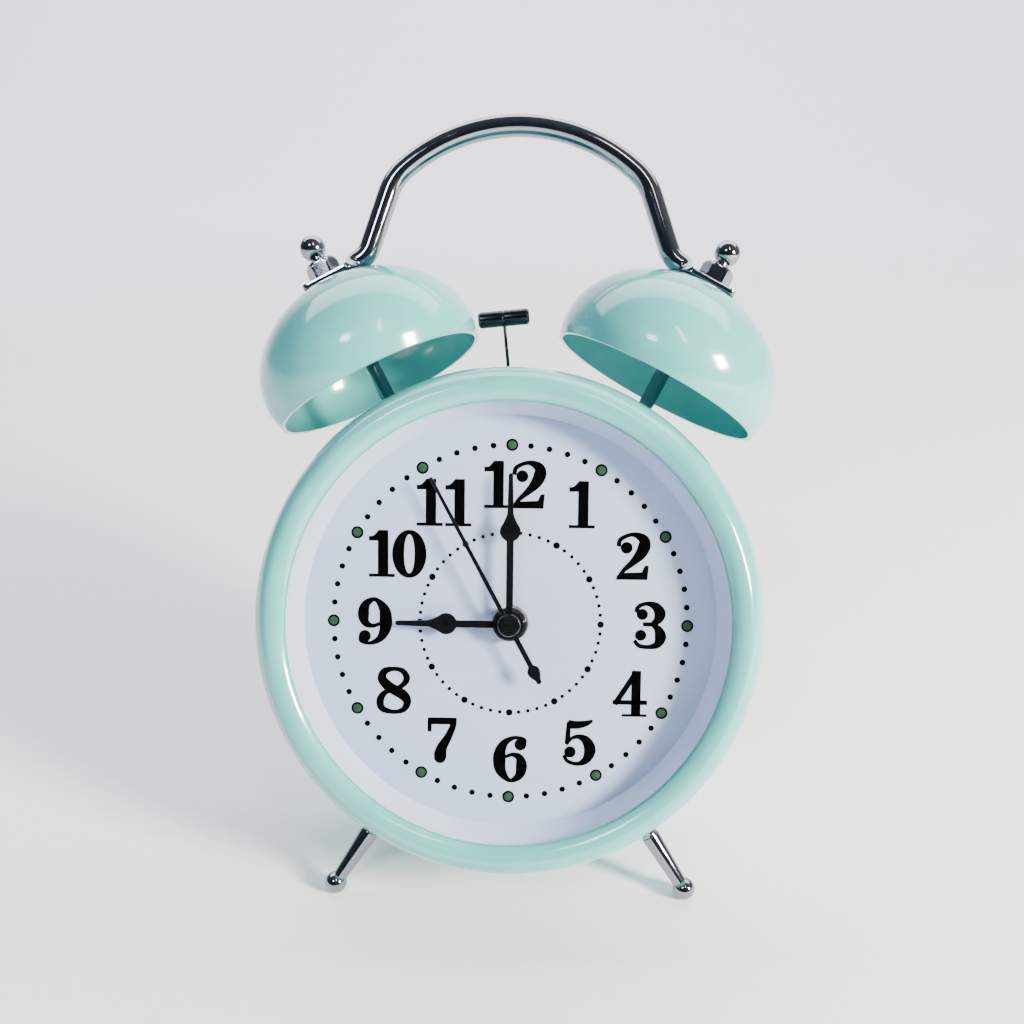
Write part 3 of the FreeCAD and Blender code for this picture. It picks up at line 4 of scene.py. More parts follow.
import bmesh
import bpy
import numpy as np
from mathutils import Matrix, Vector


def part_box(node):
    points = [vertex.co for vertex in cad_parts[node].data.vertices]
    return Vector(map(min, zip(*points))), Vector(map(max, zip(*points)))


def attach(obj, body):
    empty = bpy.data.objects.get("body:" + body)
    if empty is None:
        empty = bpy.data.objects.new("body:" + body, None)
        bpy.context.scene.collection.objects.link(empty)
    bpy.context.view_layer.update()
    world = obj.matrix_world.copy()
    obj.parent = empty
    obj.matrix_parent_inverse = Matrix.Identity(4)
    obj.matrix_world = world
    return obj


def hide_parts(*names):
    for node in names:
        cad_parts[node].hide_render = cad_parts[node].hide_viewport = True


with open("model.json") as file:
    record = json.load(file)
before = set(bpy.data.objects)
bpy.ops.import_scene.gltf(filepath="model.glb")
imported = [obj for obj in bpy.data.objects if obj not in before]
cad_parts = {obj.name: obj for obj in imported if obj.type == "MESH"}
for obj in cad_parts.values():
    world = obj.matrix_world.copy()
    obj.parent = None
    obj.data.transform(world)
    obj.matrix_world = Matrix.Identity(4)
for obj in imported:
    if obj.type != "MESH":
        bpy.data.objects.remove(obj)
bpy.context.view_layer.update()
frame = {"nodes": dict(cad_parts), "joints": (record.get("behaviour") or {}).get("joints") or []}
nodes = frame["nodes"]

# ------------------------------------------------------------------ camera
# The clock stands leaned back on its two ball feet and the lower rear edge of its drum. Every
# piece is drawn square to the dial, in millimetres right, back and up from the dial's centre,
# and leaned() stands it in the row frame. The camera stands close, a little above the dial.
minute_turn = next(joint for joint in frame["joints"] if joint["name"] == "minute_turn")
MINUTE_HAND_Y = -4.0
RIGHT = np.array([1.0, 0.0, 0.0])
BACK = np.array(minute_turn["axis"], float)
BACK /= np.linalg.norm(BACK)
UP = np.cross(RIGHT, BACK)
DIAL_CENTRE = np.array(minute_turn["pos_m"], float) - 0.001 * MINUTE_HAND_Y * BACK


def leaned(points):
    """Millimetres in the dial's frame to metres in the row frame: the dial's centre, plus each
    number times its own direction."""
    return DIAL_CENTRE + 0.001 * (np.asarray(points, float) @ np.array([RIGHT, BACK, UP]))


def unit(direction):
    direction = np.asarray(direction, float)
    return direction / np.linalg.norm(direction, axis=-1, keepdims=True)


CAMERA_PLACE = (11.9, -220.6, 24.1)
heading, pitch, roll = (math.radians(a) for a in (-0.65, -4.52, 0.86))
forward = np.array([
    math.sin(heading) * math.cos(pitch), math.cos(heading) * math.cos(pitch), math.sin(pitch),
])
level = unit(np.cross(forward, (0, 0, 1)))
over = np.cross(level, forward)
across = level * math.cos(roll) + over * math.sin(roll)
over = np.cross(across, forward)
axes = np.array([across, over, -forward]) @ np.array([RIGHT, BACK, UP])

view = bpy.data.cameras.new("view")
view.lens = 35.16
view.sensor_width = 36.0
view.shift_x = -0.040
view.shift_y = 0.080
view.clip_start = 0.01
camera = bpy.data.objects.new("camera", view)
camera.matrix_world = Matrix.Translation(leaned(CAMERA_PLACE)) @ Matrix(axes.T.tolist()).to_4x4()
bpy.context.scene.collection.objects.link(camera)
bpy.context.scene.camera = camera


# ------------------------------------------------------------------ floor and light
# A sheet of matt white card, flat under the clock and swept up behind it, so no edge shows. A
# warm window stands low on the right, a far wall and a doorway add two smaller highlights, and
# the room goes from dim and cool in front to bright behind.
def linear(colour):
    """An sRGB hex value as linear light: c / 12.92 near black, else ((c + .055) / 1.055)^2.4."""
    levels = np.array([int(colour[i:i + 2], 16) for i in (1, 3, 5)]) / 255
    levels = np.where(levels <= 0.04045, levels / 12.92, ((levels + 0.055) / 1.055) ** 2.4)
    return (*levels.tolist(), 1.0)


def add(made, kind, sockets=None, **settings):
    """Add one node to a material or the world, with its properties and its sockets. A socket
    given another node's output is linked to it, and anything else is set on the socket."""
    tree = made.node_tree
    node = tree.nodes.new(kind)
    for name, value in settings.items():
        setattr(node, name, value)
    for name, value in (sockets or {}).items():
        if isinstance(value, bpy.types.NodeSocket):
            tree.links.new(value, node.inputs[name])
        else:
            node.inputs[name].default_value = value
    return node


def material(name, surface):
    """An empty material with its Principled shader's constant sockets set, joined to the output."""
    made = bpy.data.materials.new(name)
    made.use_nodes = True
    made.node_tree.nodes.clear()
    shader = add(made, "ShaderNodeBsdfPrincipled", surface)
    add(made, "ShaderNodeOutputMaterial", {"Surface": shader.outputs[0]})
    place = add(made, "ShaderNodeTexCoord").outputs["Object"]
    return made, shader, place


def grain(made, place, size_mm, detail, stretch):
    """Noise whose grains are size_mm across; stretch gives a grain's length along each axis in
    grain widths."""
    if stretch:
        scale = tuple(1.0 / s for s in stretch)
        place = add(made, "ShaderNodeMapping", {"Vector": place, "Scale": scale}).outputs[0]
    sockets = {"Vector": place, "Scale": 1000.0 / size_mm, "Detail": detail}
    return add(made, "ShaderNodeTexNoise", sockets).outputs[0]


def mottled(made, shader, place, size_mm, low, high, socket="Base Color", stretch=None):
    """Drive a socket between two values by a grain, the middle four tenths of its range spread
    over the whole way from one value to the other."""
    noise = grain(made, place, size_mm, 3.0, stretch)
    ramp = add(made, "ShaderNodeMapRange", {"Value": noise, "From Min": 0.3, "From Max": 0.7})
    if isinstance(low, str):
        mix = add(made, "ShaderNodeMix", data_type="RGBA")
        mix.inputs[6].default_value = linear(low)
        mix.inputs[7].default_value = linear(high)
        made.node_tree.links.new(ramp.outputs[0], mix.inputs[0])
        made.node_tree.links.new(mix.outputs[2], shader.inputs[socket])
    else:
        ramp.inputs["To Min"].default_value = low
        ramp.inputs["To Max"].default_value = high
        made.node_tree.links.new(ramp.outputs[0], shader.inputs[socket])


def dented(made, shader, place, size_mm, depth_mm, stretch=None):
    """Bump from a grain that is depth_mm deep."""
    noise = grain(made, place, size_mm, 2.0, stretch)
    sockets = {"Height": noise, "Distance": depth_mm * 0.001, "Strength": 1.0}
    bump = add(made, "ShaderNodeBump", sockets)
    made.node_tree.links.new(bump.outputs[0], shader.inputs["Normal"])


SWEEP_WIDTH = 8.0
SWEEP_FRONT, SWEEP_START, SWEEP_R, SWEEP_TOP = -4.0, 1.6, 1.2, 4.0
card, shader, place = material("matt_white_card", {"Roughness": 0.95, "Specular IOR Level": 0.1})
mottled(card, shader, place, 3.0, "#F7F8FA", "#FCFCFD")
bend = np.linspace(0.0, math.pi / 2, 24)
sweep_y = np.concatenate([[SWEEP_FRONT], SWEEP_START + SWEEP_R * np.sin(bend), [SWEEP_START + SWEEP_R]])
sweep_z = np.concatenate([[0.0], SWEEP_R * (1 - np.cos(bend)), [SWEEP_TOP]])
sides = np.array([-SWEEP_WIDTH / 2, SWEEP_WIDTH / 2])
grid = np.stack(np.broadcast_arrays(sides[None, :], sweep_y[:, None], sweep_z[:, None]), -1)
index = np.arange(grid.shape[0] * 2).reshape(-1, 2)
quads = np.stack([index[:-1, 0], index[:-1, 1], index[1:, 1], index[1:, 0]], -1)
sweep_mesh = bpy.data.meshes.new("floor_sweep")
sweep_mesh.from_pydata(grid.reshape(-1, 3).tolist(), [], quads.tolist())
sweep_mesh.shade_smooth()
sweep_mesh.materials.append(card)
floor = bpy.data.objects.new("floor_sweep", sweep_mesh)
bpy.context.scene.collection.objects.link(floor)

room = bpy.data.worlds.new("dim_room")
room.use_nodes = True
sky = add(room, "ShaderNodeTexCoord").outputs["Generated"]
BRIGHT_SIDE = (0.50, 0.86, 0.0)
toward = add(room, "ShaderNodeVectorMath", {0: sky, 1: BRIGHT_SIDE}, operation="DOT_PRODUCT")
sockets = {"Value": toward.outputs["Value"], "From Min": -0.8, "From Max": 0.95}
shade = add(room, "ShaderNodeMapRange", sockets)
walls = add(room, "ShaderNodeMix", {"Factor": shade.outputs[0]}, data_type="RGBA")
walls.inputs[6].default_value = linear("#5A6878")
walls.inputs[7].default_value = linear("#F4F7FC")
room.node_tree.links.new(walls.outputs[2], room.node_tree.nodes["Background"].inputs["Color"])
room.node_tree.nodes["Background"].inputs["Strength"].default_value = 0.42
bpy.context.scene.world = room


def softbox(name, place, aim, width, height, power, colour):
    """A rectangular area light at a place, facing the aim point, in metres and watts."""
    lamp = bpy.data.lights.new(name, "AREA")
    lamp.shape = "RECTANGLE"
    lamp.size, lamp.size_y, lamp.energy = width, height, power
    lamp.color = linear(colour)[:3]
    lit = bpy.data.objects.new(name, lamp)
    away = unit(np.subtract(place, aim))
    side = unit(np.cross((0, 0, 1), away))
    turn = np.array([side, np.cross(away, side), away]).T
    lit.matrix_world = Matrix.Translation(place) @ Matrix(turn.tolist()).to_4x4()
    bpy.context.scene.collection.objects.link(lit)


CLOCK_MIDDLE = (0.0, 0.0, 0.09)
softbox("window", (0.88, -0.55, 0.46), CLOCK_MIDDLE, 0.22, 0.26, 43.0, "#FFF4E2")
softbox("far_wall", (-0.42, -1.0, 1.05), CLOCK_MIDDLE, 0.24, 0.24, 5.5, "#EAF1FF")
softbox("doorway", (0.36, -0.85, 1.30), CLOCK_MIDDLE, 0.10, 0.50, 3.0, "#FFF1DC")
softbox("ceiling", (0.0, 1.5, 2.1), (0.0, 1.8, 0.0), 4.8, 2.0, 150.0, "#F6F9FF")


# ------------------------------------------------------------------ front bezel
# Deep-drawn steel ring pressed over the drum's front edge, with a rounded shoulder and a lip
# that holds the lens. Stove-enamelled mint green, so it is glossy with a faint orange-peel.
def softened(corners, radius, steps=6):
    """A closed outline with each corner replaced by a parabola from one of its sides to the
    other: (1-t)^2 a + 2t(1-t) corner + t^2 b, a and b lying the radius from the corner."""
    corners = np.asarray(corners, float)
    radius = np.broadcast_to(np.asarray(radius, float), len(corners))

    def cut(other):
        side = other - corners
        length = np.linalg.norm(side, axis=1)
        return (corners + side * (np.minimum(radius, 0.48 * length) / length)[:, None])[:, None]

    t = np.linspace(0.0, 1.0, steps)[None, :, None]
    first, last = cut(np.roll(corners, 1, 0)), cut(np.roll(corners, -1, 0))
    return ((1 - t) ** 2 * first + 2 * t * (1 - t) * corners[:, None] + t ** 2 * last).reshape(-1, 2)


def turned(profile, steps=128, origin=(0.0, 0.0, 0.0), axis=(0.0, 1.0, 0.0)):
    """A profile of (radius, height) carried round an axis: origin + height * axis + radius *
    (cos a * first + sin a * second), as one ring of points for each profile point."""
    profile = np.asarray(profile, float)
    axis = unit(axis)
    first = unit(np.cross(axis, (0.0, 0.0, 1.0) if abs(axis[2]) < 0.9 else (1.0, 0.0, 0.0)))
    second = np.cross(axis, first)
    angle = np.linspace(0, 2 * math.pi, steps, endpoint=False)[:, None]
    spoke = np.cos(angle) * first + np.sin(angle) * second
    return np.asarray(origin) + profile[:, 1, None, None] * axis + profile[:, 0, None, None] * spoke


def shell(rings, loop=False):
    """Faces between neighbouring rings of points, each ring closed round. Unless the last ring
    joins the first again, both end rings are capped."""
    rings = np.asarray(rings, float)
    index = np.arange(rings.shape[0] * rings.shape[1]).reshape(rings.shape[:2])
    here = index if loop else index[:-1]
    there = np.roll(index, -1, 0) if loop else index[1:]
    quads = np.stack([here, np.roll(here, -1, 1), np.roll(there, -1, 1), there], -1)
    caps = [] if loop else [index[0][::-1], index[-1]]
    return rings.reshape(-1, 3), quads.reshape(-1, 4), caps


def piece(name, shells, finish, sharp=40.0):
    """One mesh of several closed shells, leaned into place, its doubles merged and its faces
    outwards. It is smooth except along edges sharper than the angle."""
    starts = np.cumsum([0] + [len(points) for points, quads, caps in shells])
    faces = []
    for (points, quads, caps), start in zip(shells, starts):
        faces += (quads + start).tolist() + [(cap + start).tolist() for cap in caps]
    mesh = bpy.data.meshes.new(name)
    mesh.from_pydata(leaned(np.concatenate([s[0] for s in shells])).tolist(), [], faces)
    work = bmesh.new()
    work.from_mesh(mesh)
    bmesh.ops.remove_doubles(work, verts=work.verts, dist=3e-7)
    bmesh.ops.recalc_face_normals(work, faces=work.faces)
    work.to_mesh(mesh)
    work.free()
    mesh.shade_smooth()
    mesh.set_sharp_from_angle(angle=math.radians(sharp))
    mesh.materials.append(finish)
    made = bpy.data.objects.new(name, mesh)
    bpy.context.scene.collection.objects.link(made)
    return made


# Stove enamel on steel: glassy top coat over a flat mint, peel about a millimetre apart.
mint_enamel, shader, place = material(
    "mint_stove_enamel",
    {"Roughness": 0.16, "IOR": 1.5, "Coat Weight": 0.6, "Coat Roughness": 0.05, "Coat IOR": 1.5},
)
mottled(mint_enamel, shader, place, 9.0, "#59B5B6", "#63BCBD")
dented(mint_enamel, shader, place, 1.4, 0.004)

DRUM_R = 54.0
BEZEL_SIDE_R = 56.0
BEZEL_CREST_R = 51.1
BEZEL_CREST_Y = -9.6
BEZEL_OPENING_R = 47.9
BEZEL_LIP_DROP = 1.4
BEZEL_LIP_Y = BEZEL_CREST_Y + BEZEL_LIP_DROP
BEZEL_WALL = 1.1
BEZEL_HEM_Y = 7.0
LENS_R = 50.0
LENS_BACK_Y = -6.0
quarter = np.linspace(0.0, math.pi / 2, 40)
shoulder = np.stack([
    BEZEL_CREST_R + (BEZEL_SIDE_R - BEZEL_CREST_R) * np.cos(quarter),
    BEZEL_CREST_Y * np.sin(quarter),
], -1)
roll_in = np.linspace(0.0, 1.0, 14)[1:-1]
lip = np.stack([
    BEZEL_CREST_R + (BEZEL_OPENING_R - BEZEL_CREST_R) * roll_in,
    BEZEL_CREST_Y + BEZEL_LIP_DROP * roll_in ** 2.2,
], -1)
hem = softened([
    (BEZEL_OPENING_R, BEZEL_LIP_Y), (BEZEL_OPENING_R, BEZEL_LIP_Y + BEZEL_WALL),
    (LENS_R + 0.05, BEZEL_LIP_Y + BEZEL_WALL), (BEZEL_CREST_R, BEZEL_CREST_Y + BEZEL_WALL + 0.9),
    (BEZEL_SIDE_R - BEZEL_WALL, 0.0), (DRUM_R + 0.05, 0.6), (DRUM_R + 0.05, BEZEL_HEM_Y),
    (55.3, BEZEL_HEM_Y),
], 0.3)
bezel = piece("bezel", [shell(turned(np.concatenate([shoulder, lip, hem]), 256), True)], mint_enamel)
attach(bezel, "case")
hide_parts("front_bezel")


# ------------------------------------------------------------------ drum
# Seamless drawn steel drum with a narrow rolled rim at each end, enamelled with the bezel. The
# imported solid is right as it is, with its slot for the hammer's wire, and takes the enamel.
def finish_nodes(finish, *names):
    """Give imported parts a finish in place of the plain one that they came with."""
    for name in names:
        mesh = nodes[name].data
        mesh.materials.clear()
        mesh.materials.append(finish)


finish_nodes(mint_enamel, "case_drum", "case_lugs")

# ------------------------------------------------------------------ lens
# Flat pane of clear mineral glass held under the bezel's lip, its edge ground round. It lets
# nearly all light through and mirrors more of it the more it is seen from the side.
clear_glass, shader, place = material("clear_mineral_glass", {"Metallic": 1.0, "Roughness": 0.02})
shader.inputs["Base Color"].default_value = linear("#F4F8FA")
edge_on = add(clear_glass, "ShaderNodeFresnel", {"IOR": 1.13})
clear_glass.node_tree.links.new(edge_on.outputs[0], shader.inputs["Alpha"])
LENS_FRONT_Y = LENS_BACK_Y - 1.1
pane = softened([
    (0.0, LENS_FRONT_Y), (LENS_R, LENS_FRONT_Y), (LENS_R, LENS_BACK_Y), (0.0, LENS_BACK_Y),
], [0.0, 0.2, 0.2, 0.0])
lens = piece("lens", [shell(turned(pane, 160), True)], clear_glass)
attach(lens, "case")
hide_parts("front_lens")

# ------------------------------------------------------------------ sight ring
# White moulded polystyrene ring that stands between the dial and the lens. Its flared inner
# face is smooth and bright, and hides the drum's edge.
white_styrene, shader, place = material(
    "white_moulded_polystyrene", {"Roughness": 0.38, "IOR": 1.55})
mottled(white_styrene, shader, place, 12.0, "#C2D2EE", "#CAD9F2")
dented(white_styrene, shader, place, 0.6, 0.003)
RING_FOOT_R = 45.7
RING_TOP_R = 48.3
RING_WALL, RING_FOOT_WALL = 0.9, 1.1
ring_outline = softened([
    (RING_FOOT_R, -0.02), (RING_TOP_R, LENS_BACK_Y), (LENS_R, LENS_BACK_Y),
    (LENS_R, LENS_BACK_Y + RING_WALL), (RING_TOP_R + RING_WALL, LENS_BACK_Y + RING_WALL),
    (RING_FOOT_R + RING_FOOT_WALL, -0.02),
], [0.1, 0.3, 0.2, 0.2, 0.3, 0.2])
sight_ring = piece("sight_ring", [shell(turned(ring_outline, 192), True)], white_styrene)
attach(sight_ring, "case")
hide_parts("dial_ring")

# ------------------------------------------------------------------ dial
# Thin aluminium disc painted satin white, with the minute dots, the numerals and the hour dots
# screen-printed on it in thick black and green ink that stands a hair above the paint.
dial_paint, shader, place = material("satin_white_dial_paint", {"Roughness": 0.5, "IOR": 1.48})
mottled(dial_paint, shader, place, 14.0, "#ACC1E4", "#B4C8E9")
dented(dial_paint, shader, place, 0.35, 0.0015)
DIAL_R, DIAL_BORE_R, DIAL_T = 53.2, 4.0, 0.6
dial_outline = softened([
    (DIAL_R, 0.0), (DIAL_R, DIAL_T), (DIAL_BORE_R, DIAL_T), (DIAL_BORE_R, 0.0),
], 0.1)
dial = piece("dial", [shell(turned(dial_outline, 160), True)], dial_paint)
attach(dial, "case")
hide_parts("dial_plate")

INK_T, INK_SINK = 0.05, 0.02
GREEN_T = 0.09
HOUR_RING_R = 39.24
INNER_RING_R = 20.05
NUMERAL_H = 10.35
MINUTE_SPOT_R, HOUR_SPOT_R, GREEN_SPOT_R = 0.66, 1.38, 0.98
INNER_SPOT_R, INNER_HOUR_SPOT_R = 0.42, 0.76
black_ink, shader, place = material(
    "black_screen_ink", {"Roughness": 0.5, "Specular IOR Level": 0.0})
mottled(black_ink, shader, place, 0.8, "#030304", "#060708")
dented(black_ink, shader, place, 0.25, 0.002)
green_ink, shader, place = material("green_glow_paint", {"Roughness": 0.55, "IOR": 1.5})
mottled(green_ink, shader, place, 0.3, "#07351C", "#0C4427")
dented(green_ink, shader, place, 0.15, 0.01)


def round_spot(x, z, radius, front=0.0, rise=INK_T, steps=20):
    """A low dome: its height is the rise times the square root of 1 - t^4, where t runs from 0
    at the middle to 1 at the edge."""
    turn = np.linspace(0.0, 1.0, 6)
    dome = np.stack([radius * turn, front - rise * np.sqrt(np.maximum(1 - turn ** 4, 0.0))], -1)
    under = [(radius, front + INK_SINK), (0.0, front + INK_SINK)]
    profile = np.concatenate([dome, under])
    return shell(turned(profile, steps, origin=(x, 0.0, z)))


def on_ring(radius, count, skip=0):
    """Places round the dial, evenly spaced from 12 o'clock; skip leaves out each skip-th one."""
    step = np.arange(count)
    step = step[step % skip != 0] if skip else step
    angle = 2 * math.pi * step / count
    return np.stack([radius * np.sin(angle), radius * np.cos(angle)], -1)


minute_spots = [
    round_spot(x, z, radius, steps=steps)
    for ring, count, skip, radius, steps in (
        (HOUR_RING_R, 60, 5, MINUTE_SPOT_R, 14), (HOUR_RING_R, 12, 0, HOUR_SPOT_R, 28),
        (INNER_RING_R, 60, 5, INNER_SPOT_R, 12), (INNER_RING_R, 12, 0, INNER_HOUR_SPOT_R, 16),
    )
    for x, z in on_ring(ring, count, skip)
]
dots = piece("dial_minute_dots", minute_spots, black_ink)
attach(dots, "case")
hour_spots = [
    round_spot(x, z, GREEN_SPOT_R, -0.6 * INK_T, GREEN_T, 24) for x, z in on_ring(HOUR_RING_R, 12)
]
hour_dots = piece("dial_hour_dots", hour_spots, green_ink)
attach(hour_dots, "case")


# ------------------------------------------------------------------ numerals
# Bold old-style numerals 1 to 12 with swelling strokes, thin joins and round ball ends, printed
# upright inside the ring of dots in the same black ink.
def smooth_rows(rows, closed=False, steps=8):
    """Rows joined by a Catmull-Rom curve, in which each piece runs from its second row to its
    third: 1/2 (2b + (c-a)t + (2a-5b+4c-d)t^2 + (3b-a-3c+d)t^3)."""
    rows = np.asarray(rows, float)
    if not closed:
        rows = np.concatenate([[2 * rows[0] - rows[1]], rows, [2 * rows[-1] - rows[-2]]])
        a, b, c, d = rows[:-3], rows[1:-2], rows[2:-1], rows[3:]
    else:
        a, b, c, d = np.roll(rows, 1, 0), rows, np.roll(rows, -1, 0), np.roll(rows, -2, 0)
    t = (np.arange(steps) / steps)[None, :, None]
    a, b, c, d = a[:, None], b[:, None], c[:, None], d[:, None]
    square, cube = 2 * a - 5 * b + 4 * c - d, 3 * b - a - 3 * c + d
    run = 0.5 * (2 * b + (c - a) * t + square * t ** 2 + cube * t ** 3)
    run = run.reshape(-1, rows.shape[1])
    return run if closed else np.concatenate([run, rows[-2:-1]])


# how much wider a stroke prints than it is drawn, as a share of the numeral's height
INK_SPREAD = 0.024


def stroke(rows, closed=False, smooth=True):
    """A pen stroke: a flat band of ink along the rows' (x, y), as wide at each row as its third
    number says and the ink's spread more, with its sides square to the line."""
    run = smooth_rows(rows, closed) if smooth else np.asarray(rows, float)
    if closed:
        along = np.roll(run[:, :2], -1, 0) - np.roll(run[:, :2], 1, 0)
    else:
        along = np.gradient(run[:, :2], axis=0)
    width = np.maximum(run[:, 2:3], 0.01) + INK_SPREAD
    side = unit(np.stack([-along[:, 1], along[:, 0]], -1)) * width / 2
    left, right = run[:, :2] - side, run[:, :2] + side
    return np.stack([left, right], 1), closed


def spot(x, y, radius):
    """A round ball end, as a band of ink from its left to its right."""
    across = np.cos(np.linspace(math.pi - 0.02, 0.02, 17)) * radius
    half = np.sqrt(radius ** 2 - across ** 2)
    left, right = np.stack([x + across, y - half], -1), np.stack([x + across, y + half], -1)
    return np.stack([left, right], 1), False


def bar(x0, x1, y0, y1):
    return np.array([[(x0, y0), (x0, y1)], [(x1, y0), (x1, y1)]], float), False


turn = np.linspace(0, 2 * math.pi, 48, endpoint=False)
nought = np.stack([0.355 + 0.24 * np.cos(turn), 0.5 + 0.465 * np.sin(turn),
                   0.07 + 0.16 * np.abs(np.cos(turn)) ** 1.5], -1)
six = [
    stroke([(.68, .84, .05), (.657, .943, .05), (.457, .975, .06), (.257, .877, .13), (.15, .693, .21),
            (.127, .493, .25), (.163, .243, .2), (.357, .033, .07), (.557, .143, .16), (.61, .36, .22),
            (.557, .543, .14), (.407, .603, .07), (.257, .553, .05)]),
    spot(.58, .827, .13),
]
DIGITS = {
    "0": [stroke(nought, closed=True, smooth=False)],
    "1": [
        bar(.193, .414, 0, 1), bar(0, .556, 0, .068),
        stroke([(0, .82, .075), (.1, .825, .085), (.2, .86, .16), (.27, .9, .2)]),
    ],
    "2": [
        spot(.228, .681, .126),
        stroke([(.053, .709, .07), (.105, .867, .07), (.351, .965, .07), (.561, .884, .18),
                (.607, .744, .24), (.526, .551, .21), (.351, .358, .12), (.175, .2, .07),
                (.042, .025, .05)]),
        (np.array([[(0, 0), (0.02, .03)], [(.19, 0), (.19, .147)], [(.56, 0), (.56, .165)],
                   [(.68, 0), (.625, .305)], [(.69, .1), (.709, .305)]], float), False),
    ],
    "3": [
        spot(.203, .734, .12), spot(.177, .285, .12),
        stroke([(.066, .777, .06), (.131, .908, .07), (.302, .964, .07), (.482, .908, .16),
                (.58, .76, .22), (.531, .613, .16), (.4, .521, .05)]),
        stroke([(.22, .521, .07), (.52, .521, .07)], smooth=False),
        stroke([(.433, .505, .06), (.548, .416, .15), (.603, .252, .22), (.531, .089, .14),
                (.351, .035, .07), (.154, .056, .07), (.039, .17, .06)]),
    ],
    "4": [
        bar(.397, .600, 0, 1), bar(0, .742, .26, .36), bar(.2, .735, 0, .058),
        stroke([(.50, .975, .095), (.045, .265, .095)], smooth=False),
    ],
    "5": [
        stroke([(.12, .9, .17), (.28, .885, .15), (.45, .905, .12), (.58, .95, .07), (.65, .99, .02)]),
        stroke([(.135, .95, .06), (.115, .6, .085), (.095, .46, .07)]),
        stroke([(.083, .457, .05), (.193, .583, .05), (.343, .628, .08), (.51, .55, .17),
                (.6, .35, .23), (.527, .133, .16), (.343, .033, .07), (.127, .083, .06),
                (.033, .217, .06)]),
        spot(.167, .29, .125),
    ],
    "6": six,
    "7": [
        bar(.01, .63, .85, 1), bar(.0025, .0875, .69, 1),
        stroke([(.573, .983, .1), (.55, .817, .11), (.45, .583, .14), (.317, .35, .2),
                (.27, .15, .26)]),
        spot(.273, .127, .13),
    ],
    "8": [stroke([(.373, .964, .07), (.172, .909, .13), (.117, .747, .17), (.253, .584, .2),
                  (.416, .487, .2), (.578, .39, .2), (.659, .244, .15), (.578, .081, .1),
                  (.367, .026, .07), (.123, .097, .12), (.075, .276, .14), (.172, .438, .1),
                  (.367, .52, .05), (.562, .617, .09), (.649, .763, .12), (.562, .919, .1)],
                 closed=True)],
    "9": [(np.array([.72, 1.0]) - band, closed) for band, closed in six],
}
# each numeral's centre as a share of the ring of dots, its width as a share of the same, and
# where its second figure starts
NUMERALS = {
    "12": (.004, .779, .316, .58), "1": (.392, .673, .139, 0), "2": (.678, .388, .177, 0),
    "3": (.780, 0, .176, 0), "4": (.677, -.392, .178, 0), "5": (.393, -.678, .175, 0),
    "6": (.001, -.782, .175, 0), "7": (-.390, -.679, .149, 0), "8": (-.666, -.394, .179, 0),
    "9": (-.773, 0, .175, 0), "10": (-.649, .383, .303, .51), "11": (-.387, .674, .290, .61),
}


def inked(band, closed, x, z):
    """A band's two edges carried forward from the dial to the ink's face, as a closed solid."""
    left, right = band[:, 0] * NUMERAL_H + (x, z), band[:, 1] * NUMERAL_H + (x, z)
    edges = [(left, INK_SINK), (left, -INK_T), (right, -INK_T), (right, INK_SINK)]
    ring = np.stack([np.insert(edge, 1, y, axis=1) for edge, y in edges], 1)
    return shell(ring, closed)


figures = []
for numeral, (x, z, width, second) in NUMERALS.items():
    corner_x = x * HOUR_RING_R - width * HOUR_RING_R / 2
    corner_z = z * HOUR_RING_R - NUMERAL_H / 2
    for place_in, figure in enumerate(numeral):
        shift = place_in * second * NUMERAL_H
        for band, closed in DIGITS[figure]:
            figures.append(inked(band, closed, corner_x + shift, corner_z))
numerals = piece("dial_numerals", figures, black_ink)
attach(numerals, "case")


# ------------------------------------------------------------------ hands
# Stamped aluminium hands lacquered glossy black: spade hour and minute hands with a teardrop
# and a long thin tip, a plain alarm hand behind them, and a slim seconds hand in front.
black_lacquer, shader, place = material(
    "glossy_black_lacquer", {"Roughness": 0.12, "IOR": 1.5, "Coat Weight": 0.5, "Coat Roughness": 0.04})
mottled(black_lacquer, shader, place, 2.0, "#08090B", "#0E1013")
dented(black_lacquer, shader, place, 0.8, 0.002)
HAND_T = 0.3
HAND_BEVEL = 0.08
HOUR_HAND_Y, ALARM_HAND_Y, SECOND_HAND_Y = -3.2, -2.4, -4.8
MINUTE_HAND_L, HOUR_HAND_L, ALARM_HAND_L = 33.0, 25.1, 21.0
SECOND_HAND_L, SECOND_TAIL_L, LEAF_L = 36.1, 14.5, 4.5
MINUTE_HAND_AT, HOUR_HAND_AT, SECOND_HAND_AT = 0.0, 270.0, -28.6


def hand_blade(length, half_width, front, direction, start=0.0, steps=160):
    """A flat blade along z whose half width is a function of the distance from the hub; each
    ring is a rectangle with its front edges cut back, and the whole is turned clockwise."""
    run = np.linspace(start, length, steps)
    half = np.maximum(half_width(run), 0.02)
    cut = np.minimum(0.07, 0.4 * half)
    section = [(-half, HAND_T), (half, HAND_T), (half, HAND_BEVEL), (half - cut, 0.0),
               (cut - half, 0.0), (-half, HAND_BEVEL)]
    angle = math.radians(direction)
    rings = []
    for side, depth in section:
        x = side * math.cos(angle) + run * math.sin(angle)
        z = run * math.cos(angle) - side * math.sin(angle)
        rings.append(np.stack(np.broadcast_arrays(x, front + depth, z), -1))
    return shell(np.stack(rings, 1))


